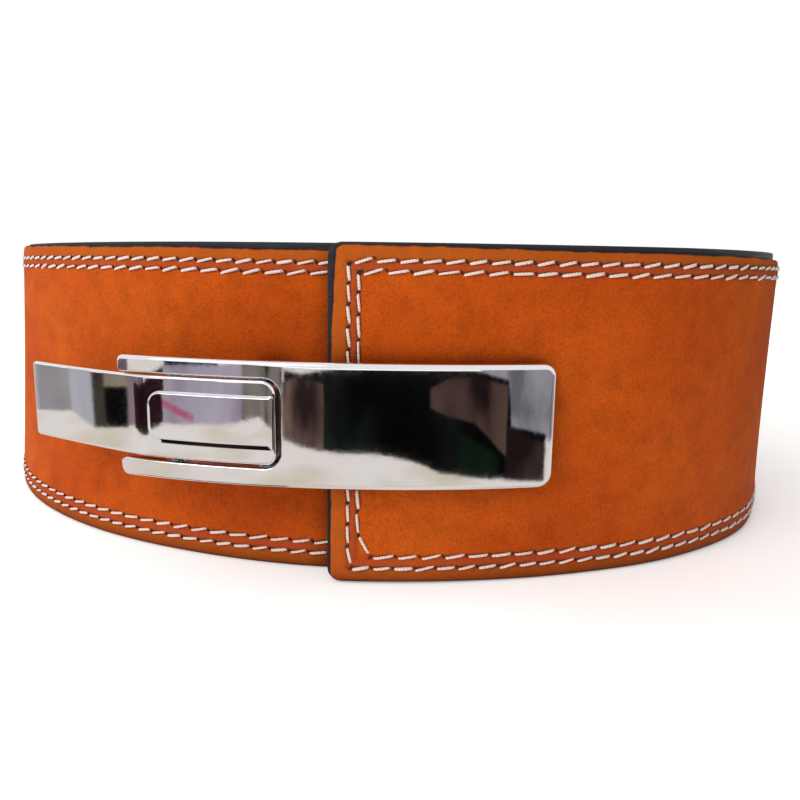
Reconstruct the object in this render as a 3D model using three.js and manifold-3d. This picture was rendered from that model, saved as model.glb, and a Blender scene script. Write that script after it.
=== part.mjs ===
import * as THREE from "three";
import { mergeVertices } from "three/addons/utils/BufferGeometryUtils.js";
import Module from "manifold-3d";

// A leather lifting belt closed by a chromed steel lever buckle, standing on its lower edge.
// Millimetres, +Z up, buckle towards -Y. One strip runs from its hidden inner end, leftwards
// round the waist, and back over itself to the overlap edge in front.

// Belt strip
const beltHeight = 101.6;
const waistWidth = 306.6;
const waistDepth = 240.5;
const liningThickness = 2.0;
const coreThickness = 5.4;
const faceThickness = 2.0;
const layerGap = 0.3;
const hiddenEnd = 90;
const climbLength = 100;
const overlapGap = 1.0;
const endCornerRadius = 4.0;
const edgeRounding = 0.8;
const beltStep = 10.7;

// The waist line in plan, from the overlap edge leftwards round the back. across is a share of
// half the waist's width, back of its depth, and splay, how far the lower edge stands out
// past the upper one, of the belt's height.
const WAIST = [
  { across: -0.052, back: 0.004, splay: 0.016 },
  { across: -0.359, back: 0.048, splay: -0.001 },
  { across: -0.635, back: 0.148, splay: 0.022 },
  { across: -0.857, back: 0.295, splay: 0.043 },
  { across: -0.978, back: 0.479, splay: 0.1 },
  { across: -0.985, back: 0.676, splay: 0.025 },
  { across: -0.84, back: 0.852, splay: 0.0 },
  { across: -0.563, back: 0.958, splay: 0.0 },
  { across: -0.211, back: 1.0, splay: 0.0 },
  { across: 0.161, back: 0.992, splay: 0.0 },
  { across: 0.513, back: 0.929, splay: 0.0 },
  { across: 0.8, back: 0.8, splay: 0.014 },
  { across: 0.962, back: 0.612, splay: 0.026 },
  { across: 1.007, back: 0.391, splay: 0.085 },
  { across: 0.878, back: 0.188, splay: -0.02 },
  { across: 0.631, back: 0.072, splay: -0.082 },
  { across: 0.292, back: 0.012, splay: -0.026 },
];

// Hook plate
const plateRadius = 223;
const plateLength = 132.3;
const plateHeight = 36.8;
const plateThickness = 2.8;
const plateCornerRadius = 4.0;
const plateEdgeRounding = 1.8;
const edgeShare = 0.9;
const plateRightReach = 52.7;
const plateCrownInset = 13.1;
const plateStandoff = 7.6;
const plateStep = 4.5;
const buckleMiddle = 49.8;
const slotLength = 53.6;
const slotHeight = 27.2;
const slotCornerRadius = 5.0;

// Lever
const leverHeight = 24.5;
const leverRise = 0.5;
const leverThickness = 8.9;
const leverEndGap = 1.1;
const leverCornerRadius = 4.0;
const leverEdgeRounding = 1.2;
const leverPlateRun = 41;
const leverBendRun = 5;
const leverBendDegrees = 11;
const fingerRun = 50;
const fingerTurnDegrees = 6;
const fingerThickness = 3.2;
const fingerTaperRun = 12;
const panelLength = 41.5;
const panelHeight = 15.8;
const panelRaise = 1.0;
const panelBevel = 1.7;
const panelCornerRadius = 5.0;
const panelEndRaise = 0.02;
const leverStep = 3.5;

// Pins, lugs, ears and prongs
const basePinRadius = 2.0;
const basePinInset = 5.0;
const basePinDepth = 6.4;
const linkPinRadius = 1.75;
const linkPinDepth = 5.2;
const pinSpacing = 30;
const pinWall = 1.1;
const pinEnd = 0.5;
const lugThickness = 3.5;
const lugFootHalf = 5.5;
const earThickness = 3.4;
const earFootHalf = 5.0;
const prongRadius = 2.75;
const prongSpacing = 25.4;
const prongInset = 8.3;
const prongGrip = 8.5;
const prongTipLength = 1.6;
const prongHoleClearance = 0.8;
const fitClearance = 0.3;
const cutPast = 1;

// Base plate and its screws
const basePlateStart = 6.5;
const basePlateLength = 46;
const basePlateHeight = 30;
const basePlateThickness = 2.0;
const basePlateCornerRadius = 3.0;
const screwRadius = 2.2;
const screwHeadRadius = 5.0;
const screwHeadThickness = 1.2;
const screwHeadBevel = 0.5;
const screwCapRadius = 3.4;
const screwCapThickness = 0.8;
const screwCapBevel = 0.7;
const screwEndInset = 5.0;
const screwSpacing = 16;
const basePlateStep = 6;

const wasm = await Module();
wasm.setup();

// Turns a closed geometry into a solid that can be joined and cut.
function solidOf(geometry) {
  const bare = geometry.clone();
  bare.deleteAttribute("normal");
  bare.deleteAttribute("uv");
  const merged = mergeVertices(bare, 1e-4);
  return new wasm.Manifold(new wasm.Mesh({
    numProp: 3,
    vertProperties: new Float32Array(merged.attributes.position.array),
    triVerts: new Uint32Array(merged.index.array),
  }));
}

// Turns a solid back into a geometry.
function geometryOf(solid) {
  const mesh = solid.getMesh();
  const geometry = new THREE.BufferGeometry();
  geometry.setAttribute("position", new THREE.BufferAttribute(new Float32Array(mesh.vertProperties), 3));
  geometry.setIndex(new THREE.BufferAttribute(new Uint32Array(mesh.triVerts), 1));
  geometry.computeVertexNormals();
  return geometry;
}

// Six times the volume inside a skin, negative when its faces point inwards.
function signedVolume(positions, faces) {
  const corner = (index) => new THREE.Vector3().fromArray(positions, 3 * index);
  let sum = 0;
  for (let i = 0; i < faces.length; i += 3) {
    sum += corner(faces[i]).dot(corner(faces[i + 1]).cross(corner(faces[i + 2])));
  }
  return sum;
}

// A closed skin through equal rings of points, with both ends capped. Each field between two
// rings is split along its shorter diagonal, so that layers side by side are split alike.
function skinThrough(rings) {
  const count = rings[0].length;
  const points = rings.flat();
  const positions = points.flatMap((point) => [point.x, point.y, point.z]);
  const faces = [];
  for (let ring = 0; ring + 1 < rings.length; ring += 1) {
    for (let i = 0; i < count; i += 1) {
      const here = ring * count + i;
      const next = ring * count + ((i + 1) % count);
      const [far, nextFar] = [here + count, next + count];
      if (points[next].distanceTo(points[far]) < points[here].distanceTo(points[nextFar])) {
        faces.push(here, next, far, next, nextFar, far);
      } else {
        faces.push(here, next, nextFar, here, nextFar, far);
      }
    }
  }
  const last = (rings.length - 1) * count;
  for (let i = 1; i + 1 < count; i += 1) {
    faces.push(0, i + 1, i, last, last + i, last + i + 1);
  }
  if (signedVolume(positions, faces) < 0) {
    faces.reverse();
  }
  const geometry = new THREE.BufferGeometry();
  geometry.setAttribute("position", new THREE.Float32BufferAttribute(positions, 3));
  geometry.setIndex(faces);
  geometry.computeVertexNormals();
  return geometry;
}

// How far a round corner trims an edge, at a distance from the end.
function cornerTrim(fromEnd, radius) {
  const left = Math.max(radius - fromEnd, 0);
  return radius - Math.sqrt(radius * radius - left * left);
}

// Distances along a bar: even steps, with closer ones where the corners at both ends turn.
function stationsAlong(start, end, step, cornerRadius) {
  const turns = [0, 0.08, 0.3, 0.6, 1].map((share) => share * cornerRadius);
  const straight = end - start - 2 * cornerRadius;
  const count = Math.ceil(straight / step);
  const between = Array.from({ length: count - 1 }, (_, i) => (straight * (i + 1)) / count);
  return [
    ...turns.map((turn) => start + turn),
    ...between.map((reach) => start + cornerRadius + reach),
    ...turns.map((turn) => end - turn).reverse(),
  ];
}

// A plan outline pulled up from one height to another.
function pulledUp(shape, low, high) {
  const options = { depth: high - low, bevelEnabled: false, curveSegments: 10 };
  return new THREE.ExtrudeGeometry(shape, options).translate(0, 0, low);
}

// An upright round bar or bore at a point of the plan.
function uprightRound(centre, radius, low, high) {
  const geometry = new THREE.CylinderGeometry(radius, radius, high - low, 20);
  return geometry.rotateX(Math.PI / 2).translate(centre.x, centre.y, (low + high) / 2);
}

// The belt strip
const beltThickness = liningThickness + coreThickness + faceThickness + 2 * layerGap;
const waistLine = new THREE.CatmullRomCurve3(
  WAIST.map((row) => new THREE.Vector3(
    (row.across * waistWidth) / 2,
    row.back * waistDepth,
    row.splay * beltHeight,
  )),
  true,
  "centripetal",
);
waistLine.arcLengthDivisions = 1500;
const waistLength = waistLine.getLength();

// The share by which the strip has climbed over its own inner end.
function climbAt(along) {
  const top = waistLength - hiddenEnd - overlapGap;
  return THREE.MathUtils.smoothstep(along, top - climbLength, top);
}

// A point of the belt: along runs leftwards from the overlap edge, depth outwards from the
// inner face, and the lower edge stands out by the splay held in the waist line's third value.
function beltPoint(along, depth, z) {
  const share = THREE.MathUtils.euclideanModulo(along / waistLength, 1);
  const place = waistLine.getPointAt(share);
  const tangent = waistLine.getTangentAt(share).setZ(0).normalize();
  const climb = climbAt(along) * (beltThickness + overlapGap);
  const reach = depth + climb + place.z * (0.5 - z / beltHeight);
  return new THREE.Vector3(place.x - tangent.y * reach, place.y + tangent.x * reach, z);
}

// The outward direction of the belt at a distance along it.
function beltOut(along) {
  return beltPoint(along, 1, buckleMiddle).sub(beltPoint(along, 0, buckleMiddle));
}

// A corner of a layer's section, from its edge face to its flat side, rounded or left square.
function layerCorner(depth, z, inwards, upwards, rounded) {
  if (!rounded) {
    return [[depth, z]];
  }
  const cut = edgeRounding * (1 - Math.SQRT1_2);
  return [
    [depth + inwards * edgeRounding, z],
    [depth + inwards * cut, z + upwards * cut],
    [depth, z + upwards * edgeRounding],
  ];
}

// One leather layer from the hidden end to the overlap edge.
function layerGeometry({ inner, outer, roundInside, roundOutside }) {
  const stations = stationsAlong(-hiddenEnd, waistLength, beltStep, endCornerRadius);
  return skinThrough(stations.map((along) => {
    const low = cornerTrim(Math.min(along + hiddenEnd, waistLength - along), endCornerRadius);
    const high = beltHeight - low;
    const section = [
      ...layerCorner(inner, low, 1, 1, roundInside),
      [inner, beltHeight / 2],
      ...layerCorner(inner, high, 1, -1, roundInside).reverse(),
      ...layerCorner(outer, high, -1, -1, roundOutside),
      [outer, beltHeight / 2],
      ...layerCorner(outer, low, -1, 1, roundOutside).reverse(),
    ];
    return section.map(([depth, z]) => beltPoint(along, depth, z));
  }));
}

// The buckle's place: the plate's crown stands off the outer end's face, and the plate is bent
// round an upright axis straight behind its crown.
const crownFoot = beltPoint(waistLength - plateCrownInset, beltThickness, buckleMiddle);
const plateAxis = new THREE.Vector2(crownFoot.x, crownFoot.y - plateStandoff + plateRadius);
const plateLow = buckleMiddle - plateHeight / 2;
const plateHigh = buckleMiddle + plateHeight / 2;
const plateLeft = plateRightReach - plateLength;
const slotEnd = plateLeft + slotLength;

// A point of the hook plate: arc runs rightwards from the crown, depth inwards from its front.
function platePoint(arc, depth, z) {
  const turn = arc / plateRadius;
  const reach = plateRadius - depth;
  return new THREE.Vector3(
    plateAxis.x + reach * Math.sin(turn),
    plateAxis.y - reach * Math.cos(turn),
    z,
  );
}

// The lever's plan path: leftwards from its pinned end, along the plate's bend, round a short
// bend towards the belt, and out along the finger end.
const leverStart = slotEnd - leverEndGap;
const leverLength = leverPlateRun + leverBendRun + fingerRun;
const LEVER_PATH = [
  { run: leverPlateRun, turn: leverPlateRun / plateRadius },
  { run: leverBendRun, turn: THREE.MathUtils.degToRad(leverBendDegrees) },
  { run: fingerRun, turn: THREE.MathUtils.degToRad(fingerTurnDegrees) },
];

// A point of the lever: run is measured leftwards from its pinned end, depth inwards.
function leverPoint(run, depth, z) {
  const start = platePoint(leverStart, 0, z);
  const place = new THREE.Vector2(start.x, start.y);
  let heading = Math.PI + leverStart / plateRadius;
  let left = run;
  for (const leg of LEVER_PATH) {
    const part = THREE.MathUtils.clamp(left, 0, leg.run);
    const turned = (leg.turn * part) / leg.run;
    const chord = turned === 0 ? part : (2 * Math.sin(turned / 2) * leg.run) / leg.turn;
    place.x += chord * Math.cos(heading - turned / 2);
    place.y += chord * Math.sin(heading - turned / 2);
    heading -= turned;
    left -= part;
  }
  return new THREE.Vector3(place.x + depth * Math.sin(heading), place.y - depth * Math.cos(heading), z);
}

// A bar's section: a plain back and a front with rounded edges, as depth and height. A bar
// too thin for its rounding gets as much of it as fits.
function barSection({ low, high, front, back, rounding }) {
  const round = Math.min(rounding, edgeShare * (back - front));
  const turns = [0, Math.PI / 6, Math.PI / 3, Math.PI / 2];
  const steps = turns.map((turn) => [front + round * (1 - Math.sin(turn)), round * (1 - Math.cos(turn))]);
  const upper = steps.map(([depth, inwards]) => [depth, high - inwards]);
  const lower = steps.map(([depth, inwards]) => [depth, low + inwards]);
  return [[back, low], [back, high], ...upper, ...lower.reverse()];
}

// A solid that rises from two feet to a round eye with a bore in it, between two heights.
function eyeSolid(eye, radius, bore, [footLeft, footRight], { low, high }) {
  const root = footLeft.clone().add(footRight).multiplyScalar(0.5);
  const rise = new THREE.Vector2(eye.x - root.x, eye.y - root.y).normalize();
  const side = new THREE.Vector2(rise.y, -rise.x);
  const feet = side.dot(new THREE.Vector2(footRight.x - root.x, footRight.y - root.y)) > 0
    ? [footLeft, footRight]
    : [footRight, footLeft];
  const facing = Math.atan2(rise.y, rise.x);
  const shape = new THREE.Shape();
  shape.moveTo(feet[0].x, feet[0].y);
  shape.lineTo(eye.x - side.x * radius, eye.y - side.y * radius);
  shape.absarc(eye.x, eye.y, radius, facing + Math.PI / 2, facing - Math.PI / 2, true);
  shape.lineTo(feet[1].x, feet[1].y);
  const hole = uprightRound(eye, bore, low - cutPast, high + cutPast);
  return solidOf(pulledUp(shape, low, high)).subtract(solidOf(hole));
}

// Pin places, lever and plate heights
const basePin = leverPoint(basePinInset, basePinDepth, 0);
const linkPin = leverPoint(basePinInset + pinSpacing, linkPinDepth, 0);
const linkArc = leverStart - basePinInset - pinSpacing;
const leverMiddle = buckleMiddle + leverRise;
const leverLow = leverMiddle - leverHeight / 2;
const leverHigh = leverMiddle + leverHeight / 2;
const slotLow = buckleMiddle - slotHeight / 2;
const slotHigh = buckleMiddle + slotHeight / 2;
const LUG_HEIGHTS = [
  { low: leverLow - fitClearance - lugThickness, high: leverLow - fitClearance },
  { low: leverHigh + fitClearance, high: leverHigh + fitClearance + lugThickness },
];
const EAR_HEIGHTS = [
  { low: slotLow - earThickness, high: slotLow },
  { low: slotHigh, high: slotHigh + earThickness },
];

// The hook plate: a bent bar with a slot open to the left, ears for the link pin and two prongs.
function hookPlateGeometry() {
  const stations = stationsAlong(plateLeft, plateRightReach, plateStep, plateCornerRadius);
  let plate = solidOf(skinThrough(stations.map((arc) => {
    const fromEnd = Math.min(arc - plateLeft, plateRightReach - arc);
    const trim = cornerTrim(fromEnd, plateCornerRadius);
    const front = cornerTrim(fromEnd, plateEdgeRounding);
    const section = barSection({
      low: plateLow + trim,
      high: plateHigh - trim,
      front,
      back: plateThickness,
      rounding: plateEdgeRounding,
    });
    return section.map(([depth, z]) => platePoint(arc, depth, z));
  })));
  plate = plate.subtract(solidOf(slotCutter()));
  const feet = [-earFootHalf, earFootHalf]
    .map((shift) => platePoint(linkArc + shift, plateThickness / 2, 0));
  const bore = linkPinRadius + fitClearance;
  for (const heights of EAR_HEIGHTS) {
    plate = plate.add(eyeSolid(linkPin, bore + pinWall, bore, feet, heights));
  }
  for (const side of [-0.5, 0.5]) {
    plate = plate.add(solidOf(prongGeometry(buckleMiddle + side * prongSpacing)));
  }
  return geometryOf(plate);
}

// The slot's cutter: a front outline with round inner corners, pushed straight back.
function slotCutter() {
  const left = platePoint(plateLeft, 0, 0).x - plateThickness - cutPast;
  const right = platePoint(slotEnd, 0, 0).x;
  const radius = slotCornerRadius;
  const shape = new THREE.Shape();
  shape.moveTo(left, slotLow);
  shape.lineTo(right - radius, slotLow);
  shape.absarc(right - radius, slotLow + radius, radius, -Math.PI / 2, 0, false);
  shape.absarc(right - radius, slotHigh - radius, radius, 0, Math.PI / 2, false);
  shape.lineTo(left, slotHigh);
  const deep = plateRadius / 2;
  const geometry = new THREE.ExtrudeGeometry(shape, { depth: deep, bevelEnabled: false, curveSegments: 6 });
  return geometry.rotateX(Math.PI / 2).translate(0, crownFoot.y + deep / 2, 0);
}

// Prongs stand straight back from the plate, and reach into the outer end by their grip.
const prongRoot = platePoint(plateRightReach - prongInset, plateThickness / 2, 0);
const prongAlong = alongUnder(prongRoot, waistLength - plateCrownInset);
const prongFace = beltPoint(prongAlong, beltThickness, buckleMiddle);
const prongLength = prongFace.y - prongRoot.y + prongGrip;

function prongGeometry(z) {
  const tip = [0, 0.3, 0.6, 0.85, 1].map((share) => new THREE.Vector2(
    prongRadius * Math.sqrt(1 - share * share),
    prongLength - prongTipLength * (1 - share),
  ));
  const profile = [new THREE.Vector2(0, 0), new THREE.Vector2(prongRadius, 0), ...tip];
  return new THREE.LatheGeometry(profile, 16).translate(prongRoot.x, prongRoot.y, z);
}

// The distance along the belt whose outer face lies straight behind a point.
function alongUnder(point, guess) {
  let along = guess;
  for (let i = 0; i < 12; i += 1) {
    along += beltPoint(along, beltThickness, buckleMiddle).x - point.x;
  }
  return along;
}

// The lever: a bent bar, thick round its two pins and thin at the finger end, with its panel.
function leverGeometry() {
  const stations = stationsAlong(0, leverLength, leverStep, leverCornerRadius);
  const taperStart = basePinInset + pinSpacing + linkPinRadius + fitClearance + pinWall;
  let lever = solidOf(skinThrough(stations.map((run) => {
    const fromEnd = Math.min(run, leverLength - run);
    const trim = cornerTrim(fromEnd, leverCornerRadius);
    const front = cornerTrim(fromEnd, leverEdgeRounding);
    const taper = THREE.MathUtils.smoothstep(run, taperStart, taperStart + fingerTaperRun);
    const back = THREE.MathUtils.lerp(leverThickness, fingerThickness, taper);
    const section = barSection({
      low: leverLow + trim,
      high: leverHigh - trim,
      front,
      back,
      rounding: leverEdgeRounding,
    });
    return section.map(([depth, z]) => leverPoint(run, depth, z));
  })));
  lever = lever.add(solidOf(panelGeometry()));
  for (const [pin, radius] of [[basePin, basePinRadius], [linkPin, linkPinRadius]]) {
    const hole = uprightRound(pin, radius + fitClearance, leverLow - cutPast, leverHigh + cutPast);
    lever = lever.subtract(solidOf(hole));
  }
  return geometryOf(lever);
}

// The raised panel on the lever: bevelled edges, a rounded left end, and a right end that runs out.
function panelGeometry() {
  const rightEnd = leverEdgeRounding / 2;
  const stations = stationsAlong(rightEnd, panelLength, leverStep, panelCornerRadius);
  return skinThrough(stations.map((run) => {
    const fromLeft = panelLength - run;
    const half = panelHeight / 2 - cornerTrim(fromLeft, panelCornerRadius);
    const raise = panelRaise * THREE.MathUtils.clamp(fromLeft / panelBevel, panelEndRaise, 1);
    const section = [
      [leverEdgeRounding, -half],
      [leverEdgeRounding, half],
      [0, half],
      [-raise, half - panelBevel],
      [-raise, panelBevel - half],
      [0, -half],
    ];
    return section.map(([depth, up]) => leverPoint(run, depth, leverMiddle + up));
  }));
}

// The base plate: a flat bent along the left piece, with two lugs for the base pin.
function basePlateGeometry() {
  const inner = beltThickness + fitClearance;
  const outer = inner + basePlateThickness;
  const end = basePlateStart + basePlateLength;
  const stations = stationsAlong(basePlateStart, end, basePlateStep, basePlateCornerRadius);
  let plate = solidOf(skinThrough(stations.map((along) => {
    const trim = cornerTrim(Math.min(along - basePlateStart, end - along), basePlateCornerRadius);
    const low = buckleMiddle - basePlateHeight / 2 + trim;
    const high = buckleMiddle + basePlateHeight / 2 - trim;
    return [[inner, low], [inner, high], [outer, high], [outer, low]]
      .map(([depth, z]) => beltPoint(along, depth, z));
  })));
  const lugFoot = alongUnder(basePin, basePlateStart + basePlateLength / 4);
  const feet = [-lugFootHalf, lugFootHalf]
    .map((shift) => beltPoint(lugFoot + shift, (inner + outer) / 2, 0));
  const bore = basePinRadius + fitClearance;
  for (const heights of LUG_HEIGHTS) {
    plate = plate.add(eyeSolid(basePin, bore + pinWall, bore, feet, heights));
  }
  for (const screw of SCREWS) {
    plate = plate.subtract(solidOf(screwBore(screw)));
  }
  return geometryOf(plate);
}

// Screws: a flat head inside the belt, a shank through it and a spread cap on the base plate.
const SCREWS = [];
for (const along of [basePlateStart + screwEndInset, basePlateStart + basePlateLength - screwEndInset]) {
  for (const side of [-0.5, 0.5]) {
    SCREWS.push({ along, z: buckleMiddle + side * screwSpacing });
  }
}

// Lays a shape made along +Y from the inner face outwards through the belt, at a screw's place.
function throughBelt(geometry, { along, z }) {
  const up = new THREE.Vector3(0, 1, 0);
  const turn = new THREE.Quaternion().setFromUnitVectors(up, beltOut(along).normalize());
  const place = beltPoint(along, 0, z);
  return geometry.applyQuaternion(turn).translate(place.x, place.y, place.z);
}

function screwGeometry(screw) {
  const capFoot = beltThickness + basePlateThickness + 2 * fitClearance;
  const profile = [
    [0, -fitClearance - screwHeadThickness],
    [screwHeadRadius - screwHeadBevel, -fitClearance - screwHeadThickness],
    [screwHeadRadius, -fitClearance],
    [screwRadius, -fitClearance],
    [screwRadius, capFoot],
    [screwCapRadius, capFoot],
    [screwCapRadius - screwCapBevel, capFoot + screwCapThickness],
    [0, capFoot + screwCapThickness],
  ];
  const points = profile.map(([radius, reach]) => new THREE.Vector2(radius, reach));
  return throughBelt(new THREE.LatheGeometry(points, 16), screw);
}

function screwBore(screw) {
  const length = beltThickness + basePlateThickness + 2 * cutPast;
  const radius = screwRadius + fitClearance;
  const bore = new THREE.CylinderGeometry(radius, radius, length, 16);
  return throughBelt(bore.translate(0, length / 2 - cutPast, 0), screw);
}

// What is cut from every layer: the four screw bores, and the two prong holes, which stop in
// the gap between the outer end and the inner end under it.
function beltCutter() {
  const start = waistLength - hiddenEnd - climbLength / 2;
  const outerEnd = stationsAlong(start, waistLength - cutPast, beltStep, cutPast);
  const block = solidOf(skinThrough(outerEnd.map((along) => {
    const inner = -overlapGap / 2;
    const outer = beltThickness + plateStandoff;
    return [[inner, 0], [inner, beltHeight], [outer, beltHeight], [outer, 0]]
      .map(([depth, z]) => beltPoint(along, depth, z));
  })));
  const radius = prongRadius + prongHoleClearance;
  let cutter = solidOf(screwBore(SCREWS[0]));
  for (const screw of SCREWS.slice(1)) {
    cutter = cutter.add(solidOf(screwBore(screw)));
  }
  for (const side of [-0.5, 0.5]) {
    const z = buckleMiddle + side * prongSpacing;
    const hole = new THREE.CylinderGeometry(radius, radius, 6 * beltThickness, 16);
    cutter = cutter.add(solidOf(hole.translate(prongRoot.x, prongRoot.y, z)).intersect(block));
  }
  return cutter;
}

// Finishes
const orangeSuede = new THREE.MeshStandardMaterial({ color: "#b55318", roughness: 0.95, metalness: 0 });
const darkLeather = new THREE.MeshStandardMaterial({ color: "#1d1c24", roughness: 0.85, metalness: 0 });
const blackSuede = new THREE.MeshStandardMaterial({ color: "#15151b", roughness: 0.98, metalness: 0 });
const chrome = new THREE.MeshStandardMaterial({ color: "#d9dadc", roughness: 0.06, metalness: 1 });
const plainSteel = new THREE.MeshStandardMaterial({ color: "#a9abae", roughness: 0.3, metalness: 1 });

const coreInner = liningThickness + layerGap;
const coreOuter = coreInner + coreThickness;
const faceInner = coreOuter + layerGap;
const LAYERS = [
  { name: "suede_lining", finish: blackSuede, inner: 0, outer: liningThickness, roundInside: true },
  { name: "leather_core", finish: darkLeather, inner: coreInner, outer: coreOuter },
  { name: "suede_face", finish: orangeSuede, inner: faceInner, outer: beltThickness, roundOutside: true },
];

// The heights of a pin's two ends, which stand out past the outer eyes.
function pinEnds([lower, upper]) {
  return [lower.low - pinEnd, upper.high + pinEnd];
}

const belt = new THREE.Group();

function addPiece(name, geometry, finish) {
  const piece = new THREE.Mesh(geometry, finish.clone());
  piece.name = name;
  belt.add(piece);
}

const cutter = beltCutter();
for (const layer of LAYERS) {
  addPiece(layer.name, geometryOf(solidOf(layerGeometry(layer)).subtract(cutter)), layer.finish);
}
addPiece("base_plate", basePlateGeometry(), plainSteel);
SCREWS.forEach((screw, index) => addPiece(`base_screw_${index + 1}`, screwGeometry(screw), plainSteel));
addPiece("base_pin", uprightRound(basePin, basePinRadius, ...pinEnds(LUG_HEIGHTS)), plainSteel);
addPiece("lever", leverGeometry(), chrome);
addPiece("link_pin", uprightRound(linkPin, linkPinRadius, ...pinEnds(EAR_HEIGHTS)), plainSteel);
addPiece("hook_plate", hookPlateGeometry(), chrome);

// The finished belt stands centred on the floor.
const extent = new THREE.Box3().setFromObject(belt);
const middle = extent.getCenter(new THREE.Vector3());
belt.position.set(-middle.x, -middle.y, -extent.min.z);

export default belt;
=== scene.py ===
import bmesh
import bpy
import numpy as np
from mathutils import Matrix, Vector
from mathutils.geometry import delaunay_2d_cdt


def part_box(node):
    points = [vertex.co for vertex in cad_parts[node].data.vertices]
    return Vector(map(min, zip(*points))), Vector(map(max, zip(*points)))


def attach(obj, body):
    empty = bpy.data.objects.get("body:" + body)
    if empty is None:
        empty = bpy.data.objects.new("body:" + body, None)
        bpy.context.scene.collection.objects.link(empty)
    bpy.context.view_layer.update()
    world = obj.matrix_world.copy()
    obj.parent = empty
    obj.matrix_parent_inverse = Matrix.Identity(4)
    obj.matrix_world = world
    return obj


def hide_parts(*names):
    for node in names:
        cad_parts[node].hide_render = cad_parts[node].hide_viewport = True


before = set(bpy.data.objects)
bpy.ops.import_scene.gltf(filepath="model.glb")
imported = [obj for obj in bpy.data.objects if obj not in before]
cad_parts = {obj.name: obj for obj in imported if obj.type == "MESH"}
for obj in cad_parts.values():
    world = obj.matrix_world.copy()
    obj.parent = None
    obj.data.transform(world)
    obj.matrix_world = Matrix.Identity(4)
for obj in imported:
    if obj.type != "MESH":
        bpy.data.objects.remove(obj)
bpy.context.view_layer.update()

# The belt strip. One long strip of cowhide with suede glued and sewn to both sides, dyed dark
# at its cut edges. It runs from its hidden inner end leftwards round the waist and climbs over
# itself to the overlap edge in front. All lengths here are in metres.
HEIGHT = 0.1016
THICKNESS = 0.010
HIDDEN_END = 0.090
CLIMB_LENGTH = 0.100
OVERLAP_GAP = 0.001
CORNER_RADIUS = 0.004
WAIST_SCALE = (0.3066 / 2, 0.2405, HEIGHT)

# The waist line in plan, leftwards from the overlap edge: share of half the width, share of
# the depth, and how far the lower edge stands out, as a share of the height.
WAIST = np.array([
    (-0.052, 0.004, 0.016),
    (-0.359, 0.048, -0.001),
    (-0.635, 0.148, 0.022),
    (-0.857, 0.295, 0.043),
    (-0.978, 0.479, 0.1),
    (-0.985, 0.676, 0.025),
    (-0.84, 0.852, 0.0),
    (-0.563, 0.958, 0.0),
    (-0.211, 1.0, 0.0),
    (0.161, 0.992, 0.0),
    (0.513, 0.929, 0.0),
    (0.8, 0.8, 0.014),
    (0.962, 0.612, 0.026),
    (1.007, 0.391, 0.085),
    (0.878, 0.188, -0.02),
    (0.631, 0.072, -0.082),
    (0.292, 0.012, -0.026),
]) * WAIST_SCALE


def waist_curve(share):
    """Closed centripetal Catmull-Rom line through the waist points: on each span a cubic whose
    end slopes come from the neighbouring points, weighted by the square roots of their spacing."""
    count = len(WAIST)
    place = (share % 1.0) * count
    span = np.floor(place).astype(int)
    t = (place - span)[..., None]
    before, start, end, after = (WAIST[(span + k) % count] for k in (-1, 0, 1, 2))

    def knot(a, b):
        return np.sqrt(np.linalg.norm(b - a, axis=-1))[..., None]

    k0, k1, k2 = knot(before, start), knot(start, end), knot(end, after)
    leave = ((start - before) / k0 - (end - before) / (k0 + k1) + (end - start) / k1) * k1
    arrive = ((end - start) / k1 - (after - start) / (k1 + k2) + (after - end) / k2) * k1
    square = -3 * start + 3 * end - 2 * leave - arrive
    cube = 2 * start - 2 * end + leave + arrive
    return start + leave * t + square * t**2 + cube * t**3


waist_shares = np.linspace(0, 1, 12001)
waist_steps = np.linalg.norm(np.diff(waist_curve(waist_shares), axis=0), axis=1)
waist_lengths = np.concatenate([[0], np.cumsum(waist_steps)])
WAIST_LENGTH = waist_lengths[-1]


def raw_belt_point(along, depth, z):
    """Belt point before centring: the waist point at distance along, pushed out square to the
    line by depth, the climb over the inner end and the edge's splay."""
    share = np.interp(along % WAIST_LENGTH, waist_lengths, waist_shares)
    place = waist_curve(share)
    ahead = waist_curve(share + 1e-5) - place
    ahead = ahead[..., :2] / np.linalg.norm(ahead[..., :2], axis=-1, keepdims=True)
    top = WAIST_LENGTH - HIDDEN_END - OVERLAP_GAP
    t = np.clip((along - top + CLIMB_LENGTH) / CLIMB_LENGTH, 0, 1)
    climb = t * t * (3 - 2 * t)
    reach = depth + climb * (THICKNESS + OVERLAP_GAP) + place[..., 2] * (0.5 - z / HEIGHT)
    return np.stack([
        place[..., 0] - ahead[..., 1] * reach,
        place[..., 1] + ahead[..., 0] * reach,
        np.broadcast_to(z, reach.shape),
    ], axis=-1)


# The CAD strip's box gives the shift to the shared frame.
probe = raw_belt_point(np.linspace(-HIDDEN_END, WAIST_LENGTH, 4000)[:, None], THICKNESS,
                       np.array([[0.0008, HEIGHT / 2, HEIGHT - 0.0008]]))
face_low, face_high = (np.array(corner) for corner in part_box("suede_face"))
SHIFT = (face_low + face_high)[:2] / 2 - (probe.min((0, 1)) + probe.max((0, 1)))[:2] / 2


def belt_point(along, depth, z):
    """Belt point in the shared frame."""
    along, depth, z = np.broadcast_arrays(along, depth, z)
    point = raw_belt_point(along, depth, z)
    point[..., :2] += SHIFT
    return point


def mesh_piece(name, points, faces, smooth=True):
    """A mesh object at the origin from points and polygons, its place in its mesh."""
    mesh = bpy.data.meshes.new(name)
    mesh.from_pydata(np.asarray(points, float).reshape(-1, 3).tolist(), [], faces)
    mesh.polygons.foreach_set("use_smooth", np.full(len(mesh.polygons), smooth))
    mesh.update()
    piece = bpy.data.objects.new(name, mesh)
    bpy.context.scene.collection.objects.link(piece)
    return piece


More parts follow.
